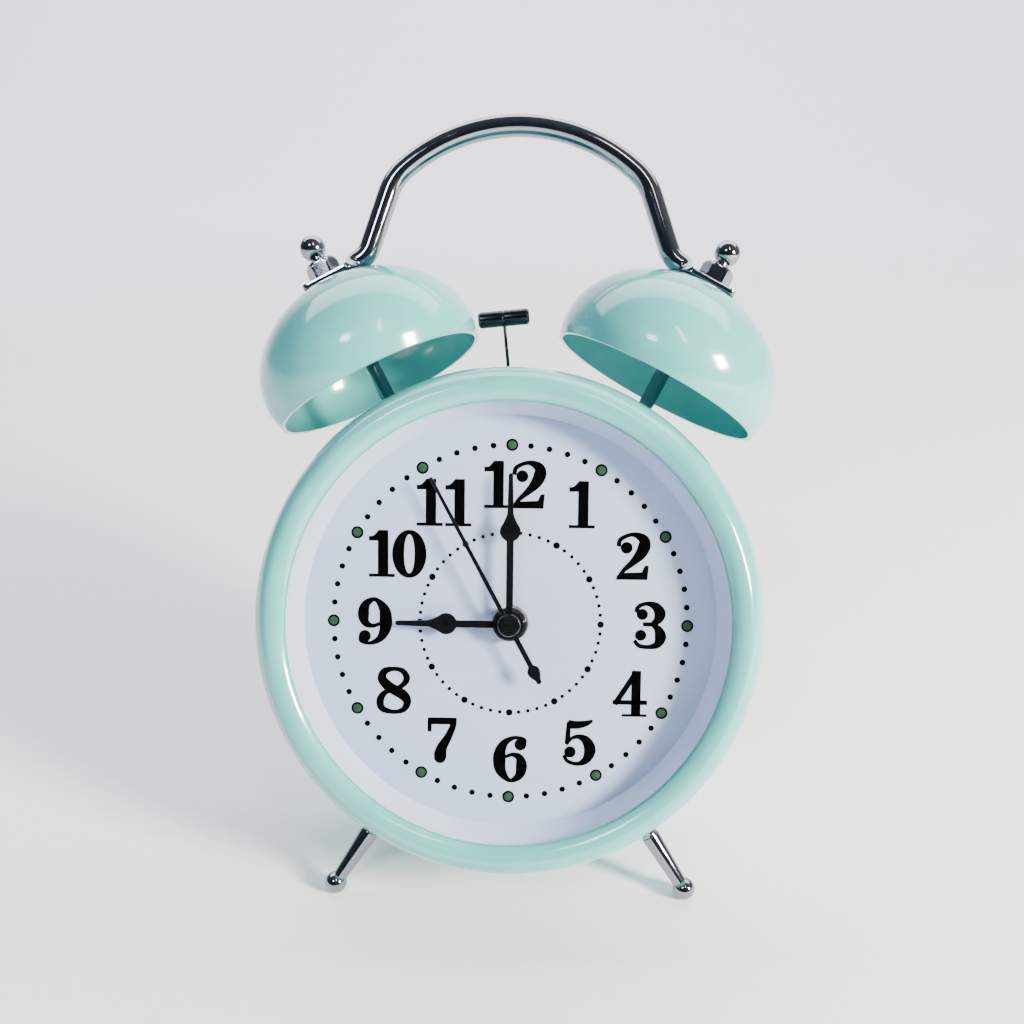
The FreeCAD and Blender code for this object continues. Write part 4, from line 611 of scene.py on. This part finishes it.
def spade(stem, tip, bulb_at, bulb_r, length):
    """Half width of a spade hand: the stem's taper, or the bulb's circle, or the shoulder that
    falls beyond the bulb as the distance left to the power 1.7, whichever is widest."""
    shoulder_l = 3.1 * bulb_r

    def half_width(run):
        narrowed = stem + (tip - stem) * (run - bulb_at) / (length - bulb_at)
        taper = np.where(run < bulb_at, stem, narrowed) / 2
        circle = np.sqrt(np.maximum(bulb_r ** 2 - (run - bulb_at) ** 2, 0.0))
        left = np.clip((bulb_at + shoulder_l - run) / shoulder_l, 0.0, 1.0)
        point = np.where(run > bulb_at, bulb_r * left ** 1.7 * 1.12, 0.0)
        rounding = np.clip(np.sqrt(np.clip(length - run, 0.0, tip / 2) * 2 / tip), 0.05, 1)
        return np.maximum(np.maximum(taper * rounding, circle), np.minimum(point, bulb_r))
    return half_width


def hub_disc(radius, bore, front):
    back = front + HAND_T
    outline = softened([(radius, front), (radius, back), (bore, back), (bore, front)],
                       [0.12, 0.03, 0.03, 0.06])
    return shell(turned(outline, 64), True)


minute = piece("minute_hand_lacquered", [
    hand_blade(MINUTE_HAND_L, spade(1.55, 0.95, 20.4, 2.25, MINUTE_HAND_L), MINUTE_HAND_Y,
               MINUTE_HAND_AT, start=1.1),
    hub_disc(3.3, 1.1, MINUTE_HAND_Y),
], black_lacquer)
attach(minute, "minutes")
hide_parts("minute_hand")

hour = piece("hour_hand_lacquered", [
    hand_blade(HOUR_HAND_L, spade(1.6, 1.05, 13.9, 2.35, HOUR_HAND_L), HOUR_HAND_Y,
               HOUR_HAND_AT, start=1.8),
    hub_disc(3.6, 1.8, HOUR_HAND_Y),
], black_lacquer)
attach(hour, "hours")
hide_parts("hour_hand")

alarm = piece("alarm_hand_lacquered", [
    hand_blade(ALARM_HAND_L, lambda run: np.full(run.shape, 0.35), ALARM_HAND_Y, HOUR_HAND_AT,
               start=2.5),
    hub_disc(3.8, 2.5, ALARM_HAND_Y),
], black_lacquer)
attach(alarm, "alarm_indication")
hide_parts("alarm_hand")


def seconds_width(run):
    """Half width of the seconds hand: a needle that tapers outward, and on its tail a leaf that
    is the sine of pi times the way along it to the power 0.62."""
    leaf = np.clip((LEAF_L - SECOND_TAIL_L - run) / LEAF_L, 0.0, 1.0)
    needle = np.where(run < 0.0, 0.58, 0.52 - 0.16 * np.clip(run / SECOND_HAND_L, 0.0, 1.0))
    return np.maximum(needle * (leaf < 1), 1.4 * np.sin(math.pi * leaf ** 0.62) * (leaf < 1))


seconds = piece("second_hand_lacquered", [
    hand_blade(SECOND_HAND_L, seconds_width, SECOND_HAND_Y, SECOND_HAND_AT,
               start=-SECOND_TAIL_L, steps=220),
    hub_disc(1.9, 0.5, SECOND_HAND_Y),
], black_lacquer)
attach(seconds, "seconds")
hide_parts("second_hand")
finish_nodes(black_lacquer, "bush_nut")

# the push-on cap over the hub, a shallow glossy dome
cap_round = np.linspace(0.0, math.pi / 2, 10)
cap_profile = np.stack([2.15 + 0.4 * np.sin(cap_round), -4.9 - 0.6 * np.cos(cap_round) ** 0.8], -1)
cap_profile = np.concatenate([
    [(0.0, -5.55), (1.2, -5.54)], cap_profile, [(2.55, SECOND_HAND_Y), (0.0, SECOND_HAND_Y)],
])
hub_cap = piece("hub_cap_domed", [shell(turned(cap_profile, 64))], black_lacquer)
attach(hub_cap, "seconds")
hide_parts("hub_cap")

# ------------------------------------------------------------------ bells
# Two spun steel bells, each clamped at its crown between a washer on its post and the handle's
# tab. Enamelled all over, outside and in and round the trimmed rim, which is rounded across its wall.
TOP_Y = 22.3
BELL_X, BELL_Z, BELL_TILT = 32.762, 54.745, 27.5
BELL_R, BELL_RIM_R, BELL_SKIRT_H, BELL_DOME_H, BELL_WALL = 27.0, 26.0, 5.1, 21.4, 1.0
BELL_H = BELL_SKIRT_H + BELL_DOME_H
RIM_BEAD, CROWN_HOLE_R = 0.12, 1.6
POST_STUD_R = 1.5


def bell_axis(side):
    """Origin at the middle of a bell's mouth, and its axis, tilted outward from upright."""
    tilt = math.radians(BELL_TILT)
    return (side * BELL_X, TOP_Y, BELL_Z), (side * math.sin(tilt), 0.0, math.cos(tilt))


def bell_wall(inset, steps=48):
    """Half a bell: a skirt that swells by a sine from rim to widest circle, then a quarter
    ellipse to the crown's hole."""
    rise = np.linspace(0.0, 1.0, 12, endpoint=False)
    skirt_r = BELL_RIM_R + (BELL_R - BELL_RIM_R) * np.sin(rise * math.pi / 2)
    skirt = np.stack([skirt_r - inset, rise * BELL_SKIRT_H], -1)
    radius, height = BELL_R - inset, BELL_DOME_H - inset
    angle = np.linspace(0.0, math.acos(CROWN_HOLE_R / radius), steps)
    dome = np.stack([radius * np.cos(angle), BELL_SKIRT_H + height * np.sin(angle)], -1)
    return np.concatenate([skirt, dome])


rim_angle = np.linspace(math.pi, 0.0, 7)[1:-1]
rim = np.stack([BELL_RIM_R - BELL_WALL / 2 + 0.5 * BELL_WALL * np.cos(rim_angle),
                RIM_BEAD - RIM_BEAD * np.sin(rim_angle)], -1)
bell_profile = np.concatenate([rim, bell_wall(0.0), bell_wall(BELL_WALL)[::-1]])
for side, word in ((1, "right"), (-1, "left")):
    origin, axis = bell_axis(side)
    wall = shell(turned(bell_profile, 200, origin, axis), True)
    bell = piece(f"bell_{word}_enamelled", [wall], mint_enamel)
    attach(bell, "case")
    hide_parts(f"bell_{word}")

# ------------------------------------------------------------------ posts, nuts and washers
# Turned steel posts that carry the bells, and domed hexagon nuts with a ball on top that clamp
# them. Bright chrome plate over nickel, slightly hazed where it has been handled.
chrome, shader, place = material("chrome_plate", {"Metallic": 1.0})
shader.inputs["Base Color"].default_value = linear("#8C9098")
mottled(chrome, shader, place, 4.0, 0.05, 0.13, "Roughness")
dented(chrome, shader, place, 0.9, 0.0025)
steel, shader, place = material("bright_zinc_plated_steel", {"Metallic": 1.0})
mottled(steel, shader, place, 1.2, "#A6A9AC", "#B9BBBC")
mottled(steel, shader, place, 2.0, 0.22, 0.36, "Roughness")
NUT_FLATS, NUT_H, NUT_NECK_R, NUT_BALL_R, NUT_BALL_UP = 7.0, 4.3, 1.7, 3.05, 3.4
TAB_T = 1.4
foot = DRUM_R - math.hypot(BELL_X, BELL_Z)
post_profile = softened([
    (0.02, foot - 4.4), (POST_STUD_R, foot - 4.4), (POST_STUD_R, foot - 1.2), (3.2, foot - 0.9),
    (3.2, foot + 2.0), (1.8, foot + 2.05), (1.8, BELL_H - 2.2), (POST_STUD_R, BELL_H - 2.15),
    (POST_STUD_R, BELL_H + TAB_T + 3.2), (0.02, BELL_H + TAB_T + 3.2),
], [0, 0.3, 0.1, 0.2, 0.45, 0.35, 0.15, 0.05, 0.3, 0])


def nut_rings(base, axis, steps=144):
    """A chamfered hexagon: the radius at each height and angle is the smaller of the flat's
    (half flats over the cosine from its middle) and the turned chamfer's."""
    height = np.array([0.0, 0.0, 0.12, 0.3, NUT_H - 1.4, NUT_H - 1.0, NUT_H - 0.6, NUT_H - 0.3,
                       NUT_H - 0.08, NUT_H])
    cone = np.array([1.6, 3.6, 3.85, 4.1, 4.1, 3.95, 3.7, 3.4, 3.05, NUT_NECK_R])
    axis = unit(axis)
    first = np.array([0.0, 1.0, 0.0])
    second = np.cross(axis, first)
    angle = np.linspace(0, 2 * math.pi, steps, endpoint=False)
    flat = NUT_FLATS / 2 / np.cos(np.mod(angle + math.pi / 6, math.pi / 3) - math.pi / 6)
    radius = np.minimum(flat[None, :], cone[:, None])[..., None]
    spoke = np.cos(angle)[:, None] * first + np.sin(angle)[:, None] * second
    return np.asarray(base) + height[:, None, None] * axis + radius * spoke[None]


neck_angle = math.asin(math.sqrt(1 - (NUT_NECK_R / NUT_BALL_R) ** 2))
ball_angle = np.linspace(-neck_angle, math.pi / 2, 26)
ball_height = NUT_H + NUT_BALL_UP + NUT_BALL_R * np.sin(ball_angle)
ball_profile = np.concatenate([
    [(0.0, NUT_H - 0.4), (NUT_NECK_R + 0.35, NUT_H - 0.4), (NUT_NECK_R + 0.05, NUT_H + 0.15)],
    np.stack([NUT_BALL_R * np.cos(ball_angle), ball_height], -1),
])
for side, word in ((1, "right"), (-1, "left")):
    origin, axis = bell_axis(side)
    stem = shell(turned(post_profile, 64, origin, axis))
    post = piece(f"bell_post_{word}_chromed", [stem], chrome, 50.0)
    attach(post, "case")
    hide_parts(f"bell_post_{word}")
    crown = np.asarray(origin) + (BELL_H + TAB_T) * np.asarray(axis)
    nut = piece(f"ball_nut_{word}_chromed", [
        shell(nut_rings(crown, axis)),
        shell(turned(ball_profile, 72, crown, axis)),
    ], chrome, 24.0)
    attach(nut, "case")
    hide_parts(f"ball_nut_{word}")
finish_nodes(steel, "bell_washer_right", "bell_washer_left", "post_nut_right", "post_nut_left",
             "leg_nuts")

# ------------------------------------------------------------------ handle
# One steel rod bent to a flat arch, its two ends hammered flat and drilled, so each lies on a
# bell's crown under its ball nut. Polished and chromed with them.
HANDLE_ROD_R, HANDLE_RISE, HANDLE_TUCK = 2.5, 36.3, 3.4
HANDLE_CORNER_R, HANDLE_HEEL_R, HANDLE_LEAN = 13.0, 6.0, 19.0
TAB_WIDTH, TAB_REACH, TAB_CORNER, TAB_BLADE, TAB_HEEL = 9.4, 6.0, 1.3, 5.3, 10.8
tilt, lean = math.radians(BELL_TILT), math.radians(HANDLE_LEAN)
outward = np.array([math.cos(tilt), -math.sin(tilt)])
lift = np.array([math.sin(tilt), math.cos(tilt)])
rise = np.array([-math.sin(lean), math.cos(lean)])
seat = np.array([BELL_X, BELL_Z]) + (BELL_H + TAB_T / 2) * lift
cut_back = HANDLE_HEEL_R * math.tan(math.acos(-outward @ rise) / 2)
tab_end = TAB_HEEL - cut_back
crown_drop = BELL_DOME_H * (1 - math.sqrt(1 - (tab_end / BELL_R) ** 2))
tab_rise = HANDLE_ROD_R - TAB_T / 2 - crown_drop + 0.27
heel = seat + lift * tab_rise - outward * TAB_HEEL
bend_r = seat[0] - HANDLE_TUCK
top_centre = np.array([0.0, seat[1] + HANDLE_RISE - bend_r])
side = np.array([rise[1], -rise[0]])
inset = heel - side * HANDLE_CORNER_R - top_centre
run = -inset @ rise + math.sqrt((inset @ rise) ** 2 - inset @ inset + (bend_r - HANDLE_CORNER_R) ** 2)
corner_centre = top_centre + inset + rise * run


def arc_between(centre, start, end, steps):
    """Points of an arc about a centre from one point to another, the short way round."""
    first, last = start - centre, end - centre
    sweep = math.atan2(first[0] * last[1] - first[1] * last[0], first @ last)
    angle = np.linspace(0.0, sweep, steps)[:, None]
    return centre + np.cos(angle) * first + np.sin(angle) * np.array([-first[1], first[0]])


def eased(value):
    """A value clipped to 0..1 and eased at both ends: 3v^2 - 2v^3."""
    value = np.clip(value, 0.0, 1.0)
    return value * value * (3 - 2 * value)


inward = np.linspace(-TAB_REACH, tab_end, 72)[:-1]
flare = eased((inward - TAB_BLADE) / (tab_end - TAB_BLADE))
tab_run = seat - outward * inward[:, None] + lift * tab_rise * flare[:, None]
heel_in, heel_out = heel + outward * cut_back, heel + rise * cut_back
heel_centre = heel + unit(outward + rise) * math.hypot(HANDLE_HEEL_R, cut_back)
corner_start = corner_centre + side * HANDLE_CORNER_R
corner_end = corner_centre + unit(corner_centre - top_centre) * HANDLE_CORNER_R
half_path = np.concatenate([
    tab_run, arc_between(heel_centre, heel_in, heel_out, 20),
    np.linspace(heel_out, corner_start, 16)[1:-1],
    arc_between(corner_centre, corner_start, corner_end, 26),
    arc_between(top_centre, corner_end, top_centre + (0, bend_r), 40)[1:],
])
flare = np.concatenate([flare, np.ones(len(half_path) - len(flare))])
near_end = np.clip((TAB_CORNER - (inward + TAB_REACH)) / TAB_CORNER, 0.0, 1.0)
square_end = TAB_WIDTH / 2 - TAB_CORNER * (1 - np.sqrt(np.maximum(1 - near_end ** 2, 0.0)))
half_width = HANDLE_ROD_R + (TAB_WIDTH / 2 - HANDLE_ROD_R) * (1 - flare)
half_width[:len(square_end)] = np.minimum(half_width[:len(square_end)], square_end)
half_thick = TAB_T / 2 + (HANDLE_ROD_R - TAB_T / 2) * flare
squareness = 2.0 + 8.0 * (1 - flare)
whole = np.concatenate([half_path, (half_path * (-1, 1))[-2::-1]])
width, thick, power = (np.concatenate([a, a[-2::-1]]) for a in (half_width, half_thick, squareness))
along = unit(np.gradient(whole, axis=0))
normal = np.stack([-along[:, 1], along[:, 0]], -1)
angle = np.linspace(0, 2 * math.pi, 64, endpoint=False)[None, :]
c, s = np.cos(angle), np.sin(angle)
deep = width[:, None] * np.sign(c) * np.abs(c) ** (2 / power[:, None])
high = thick[:, None] * np.sign(s) * np.abs(s) ** (2 / power[:, None])
flat = whole[:, None, :] + high[..., None] * normal[:, None, :]
rod = np.stack([flat[..., 0], TOP_Y + deep, flat[..., 1]], -1)
handle = piece("handle_chromed", [shell(rod)], chrome, 50.0)
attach(handle, "case")
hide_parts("handle")

# ------------------------------------------------------------------ legs
# Two turned legs screwed into the drum at a splay, each with a cut line round its shank and a
# ball foot at the end, chromed like the posts.
LEG_Y, LEG_ANGLE, LEG_BALL_AT, LEG_BALL_R = 10.4, 33.0, 75.8, 2.6
ball_start = math.asin(1.65 / LEG_BALL_R)
ball_angle = np.linspace(-math.pi / 2 + ball_start, math.pi / 2, 26)
# the shank ends at the neck's corner, where the ball's own points take over
leg_shank = softened([
    (0.02, 49.8), (POST_STUD_R, 49.8), (POST_STUD_R, 52.9), (2.55, 52.9), (2.55, 55.0),
    (2.25, 60.0), (1.95, 60.12), (1.95, 60.55), (2.2, 60.7), (1.65, 73.75),
], [0, 0.2, 0, 0.1, 0.2, 0.1, 0.05, 0.05, 0.1, 0.0])[:-6]
leg_ball = np.stack([LEG_BALL_R * np.cos(ball_angle), LEG_BALL_AT + LEG_BALL_R * np.sin(ball_angle)], -1)
leg_profile = np.concatenate([leg_shank, leg_ball])
splay = math.radians(LEG_ANGLE)
for side, word in ((1, "right"), (-1, "left")):
    leg_axis = (side * math.sin(splay), 0.0, -math.cos(splay))
    shank = shell(turned(leg_profile, 72, (0, LEG_Y, 0), leg_axis))
    leg = piece(f"leg_{word}_chromed", [shank], chrome, 50.0)
    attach(leg, "case")
    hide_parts(f"leg_{word}")

# ------------------------------------------------------------------ hammer
# Steel cylinder on a spring wire that swings between the bells through a slot in the drum,
# both black nickelled, with a fine groove round the cylinder where it is pinched on the wire.
black_nickel, shader, place = material("black_nickel_plate", {"Metallic": 1.0})
mottled(black_nickel, shader, place, 1.5, "#3A3D43", "#474A51")
dented(black_nickel, shader, place, 0.5, 0.002)
shader.inputs["Roughness"].default_value = 0.2
HAMMER_PIVOT_Z, HAMMER_ARM, HAMMER_LEAN = 36.8, 34.0, math.radians(-6.0)
wire_way = np.array([math.sin(HAMMER_LEAN), 0.0, math.cos(HAMMER_LEAN)])
head_way = np.array([math.cos(HAMMER_LEAN), 0.0, -math.sin(HAMMER_LEAN)])
pivot = np.array([0.0, TOP_Y, HAMMER_PIVOT_Z])
head_profile = softened([
    (0.02, -6.1), (1.4, -6.1), (1.9, -5.6), (1.9, -0.22), (1.72, -0.12), (1.72, 0.12), (1.9, 0.22),
    (1.9, 5.6), (1.4, 6.1), (0.02, 6.1),
], [0, 0.15, 0.15, 0.05, 0.03, 0.03, 0.05, 0.15, 0.15, 0])
head = piece("hammer_head_plated",
             [shell(turned(head_profile, 64, pivot + HAMMER_ARM * wire_way, head_way))], black_nickel)
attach(head, "hammer")
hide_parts("hammer_head")
finish_nodes(black_nickel, "hammer_wire")

# ------------------------------------------------------------------ rear cover and its fittings
# Moulded black ABS cover with a recessed floor, its two fluted setting knobs, the alarm
# slide and the sliding battery door. Spark-eroded mould, so the plastic is finely grained.
black_abs, shader, place = material("black_grained_abs", {"IOR": 1.54})
mottled(black_abs, shader, place, 6.0, "#17181A", "#1E1F22")
mottled(black_abs, shader, place, 0.8, 0.42, 0.58, "Roughness")
dented(black_abs, shader, place, 0.45, 0.02)
white_abs, shader, place = material("white_abs", {"Roughness": 0.35, "IOR": 1.54})
mottled(white_abs, shader, place, 5.0, "#E4E6E6", "#ECEDED")
dented(white_abs, shader, place, 0.4, 0.006)
finish_nodes(black_abs, "rear_cover", "battery_door")


def drawn(place):
    """A point in the row frame, in metres, as millimetres in the dial's frame."""
    return 1000 * (np.array([RIGHT, BACK, UP]) @ (np.array(place, float) - DIAL_CENTRE))


def fluted(middle, radius, front, back, flutes=16, depth=0.55, steps=192):
    """A fluted knob: each height's radius comes from a profile with a rounded shoulder, less a
    groove that is the depth times the fourth power of half of 1 + cos(flutes * angle)."""
    round_off = np.linspace(0.0, math.pi / 2, 8)
    outline = [(0.0, front), (radius - 1.6, front), (radius - 0.1, front + 0.1),
               (radius, front + 0.35)]
    shoulder = np.stack([radius - 0.8 + 0.8 * np.cos(round_off),
                         back - 0.8 + 0.8 * np.sin(round_off)], -1)
    dish = [(radius - 1.6, back - 0.05), (radius - 2.2, back - 0.55),
            (radius * 0.3, back - 0.6), (0.0, back - 0.6)]
    profile = np.concatenate([outline, shoulder, dish])
    angle = np.linspace(0, 2 * math.pi, steps, endpoint=False)
    groove = depth * (0.5 + 0.5 * np.cos(flutes * angle)) ** 4
    share = np.clip((profile[:, 0] - radius + 1.4) / 1.4, 0.0, 1.0)
    reach = profile[:, 0, None] - share[:, None] * groove[None]
    x, z = middle[0] + reach * np.cos(angle), middle[1] + reach * np.sin(angle)
    return shell(np.stack([x, np.broadcast_to(profile[:, 1, None], x.shape), z], -1))


# The knobs push onto their shafts; the one that sets the hands is the larger.
KNOB_FRONT, KNOB_BACK = 35.0, 40.6
knob_turns = ("time_knob_turn", "alarm_knob_turn")
axles = {
    joint["name"]: drawn(joint["pos_m"])[[0, 2]]
    for joint in frame["joints"] if joint["name"] in knob_turns
}
for name, joint, body, radius in (
    ("time_knob", "time_knob_turn", "time_setting", 7.0),
    ("alarm_knob", "alarm_knob_turn", "alarm_setting", 5.5),
):
    grip = fluted(axles[joint], radius, KNOB_FRONT, KNOB_BACK)
    knob = piece(f"{name}_fluted", [grip], black_abs, 35.0)
    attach(knob, body)
    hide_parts(name)

# A raised arrow moulded on the cover round each knob shows which way it turns.
COVER_BACK = 34.2
ARROW_FOOT, ARROW_FACE = COVER_BACK - 0.1, COVER_BACK + 0.25
ARROW_STEPS, ARROW_HEAD = 32, 27
arrows = []
for joint, radius in (("time_knob_turn", 8.6), ("alarm_knob_turn", 7.1)):
    step = np.arange(ARROW_STEPS)
    angle = np.radians(np.linspace(35.0, 145.0, ARROW_STEPS))
    half = np.where(step < ARROW_HEAD, 0.35, (31.4 - step) / 4.4)[:, None]
    spoke = np.stack([np.cos(angle), np.sin(angle)], -1)
    inner, outer = axles[joint] + spoke * (radius - half), axles[joint] + spoke * (radius + half)
    edges = [(inner, ARROW_FOOT), (inner, ARROW_FACE), (outer, ARROW_FACE), (outer, ARROW_FOOT)]
    arrows.append(shell(np.stack([np.insert(edge, 1, y, axis=1) for edge, y in edges], 1)))
cover_arrows = piece("cover_arrows", arrows, black_abs)
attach(cover_arrows, "case")


def thumb_piece(low, high, corner, ribs):
    """A moulded slide button: a rounded rectangle carried from front to back, drawn in at its
    end by a quarter circle, with ribs that are a cosine along x on its end face."""
    width, depth = high[0] - low[0], high[2] - low[2]
    middle = np.array([(low[0] + high[0]) / 2, (low[2] + high[2]) / 2])
    half = np.array([width / 2, depth / 2])
    outline = softened(half * [(-1, -1), (1, -1), (1, 1), (-1, 1)], corner, 7)
    top = np.linspace(0.0, math.pi / 2, 6)
    height = np.concatenate([[low[1]], high[1] - corner + corner * np.sin(top),
                             np.full(6, high[1])])
    inset = np.concatenate([[0.0], corner - corner * np.cos(top),
                            corner + np.linspace(0.2, 1.0, 6) * (depth / 2 - corner)])
    rings = middle + outline[None] * (1 - inset[:, None, None] / half)
    rib = np.where(np.arange(13) > 6, 1.0, 0.0)[:, None] * ribs * np.cos(2 * math.pi * rings[..., 0] / 1.1)
    return shell(np.stack([rings[..., 0], height[:, None] + rib, rings[..., 1]], -1))


# White slide that arms the alarm: its thumb piece stands through a slot in the cover, and the
# wider flange behind keeps it in.
low, high = (drawn(corner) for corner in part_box("alarm_switch"))
switch_x = (low[0] + high[0]) / 2
switch = piece("alarm_switch_ribbed", [
    thumb_piece((switch_x - 2.5, 32.5, 18.4), (switch_x + 2.5, 37.2, 21.6), 0.6, 0.12),
    thumb_piece((switch_x - 4.5, 31.7, 16.6), (switch_x + 4.5, 32.7, 23.4), 0.3, 0.0),
], white_abs)
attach(switch, "switch")
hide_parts("alarm_switch")

finish_nodes(steel, "rear_screws")

# ------------------------------------------------------------------ movement and works
# Snap-together quartz module in natural acetal, its brass and steel train, the green-lacquered
# board, copper coils, and the single cell in the cover's pocket.
acetal, shader, place = material(
    "natural_acetal", {"Roughness": 0.4, "IOR": 1.48, "Subsurface Weight": 0.1})
mottled(acetal, shader, place, 8.0, "#E3DFD2", "#ECE8DC")
dented(acetal, shader, place, 0.5, 0.004)
brass, shader, place = material("turned_brass", {"Metallic": 1.0})
mottled(brass, shader, place, 1.0, "#C9A227", "#D8B648")
mottled(brass, shader, place, 0.7, 0.2, 0.34, "Roughness")
copper, shader, place = material("enamelled_copper_winding", {"Metallic": 1.0, "Roughness": 0.3})
mottled(copper, shader, place, 0.8, "#8A3F1C", "#B4602F", stretch=(4.0, 4.0, 0.3))
dented(copper, shader, place, 0.25, 0.03, stretch=(8.0, 8.0, 0.6))
fibre, shader, place = material("green_board_laminate", {"Roughness": 0.35, "IOR": 1.52})
mottled(fibre, shader, place, 0.7, "#1B5E3A", "#237048")
jacket, shader, place = material("printed_cell_jacket", {"Roughness": 0.25, "Coat Weight": 0.4})
mottled(jacket, shader, place, 7.0, "#30343A", "#3A3F46")
dented(jacket, shader, place, 0.6, 0.003)
SLOT_FINISH = {
    "natural_plastic": acetal, "steel": steel, "gunmetal": black_nickel, "brass": brass,
    "black_hands": black_lacquer, "copper": copper, "board": fibre, "cell_jacket": jacket,
    "black_plastic": black_abs, "white_plastic": white_abs, "white_dial": dial_paint,
    "chrome": chrome, "mint_enamel": mint_enamel, "clear_lens": clear_glass,
}
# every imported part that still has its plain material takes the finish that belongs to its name
for name in sorted(nodes):
    came_with = nodes[name].data.materials[0]
    if came_with not in SLOT_FINISH.values():
        finish_nodes(SLOT_FINISH[came_with.name.split(".")[0]], name)
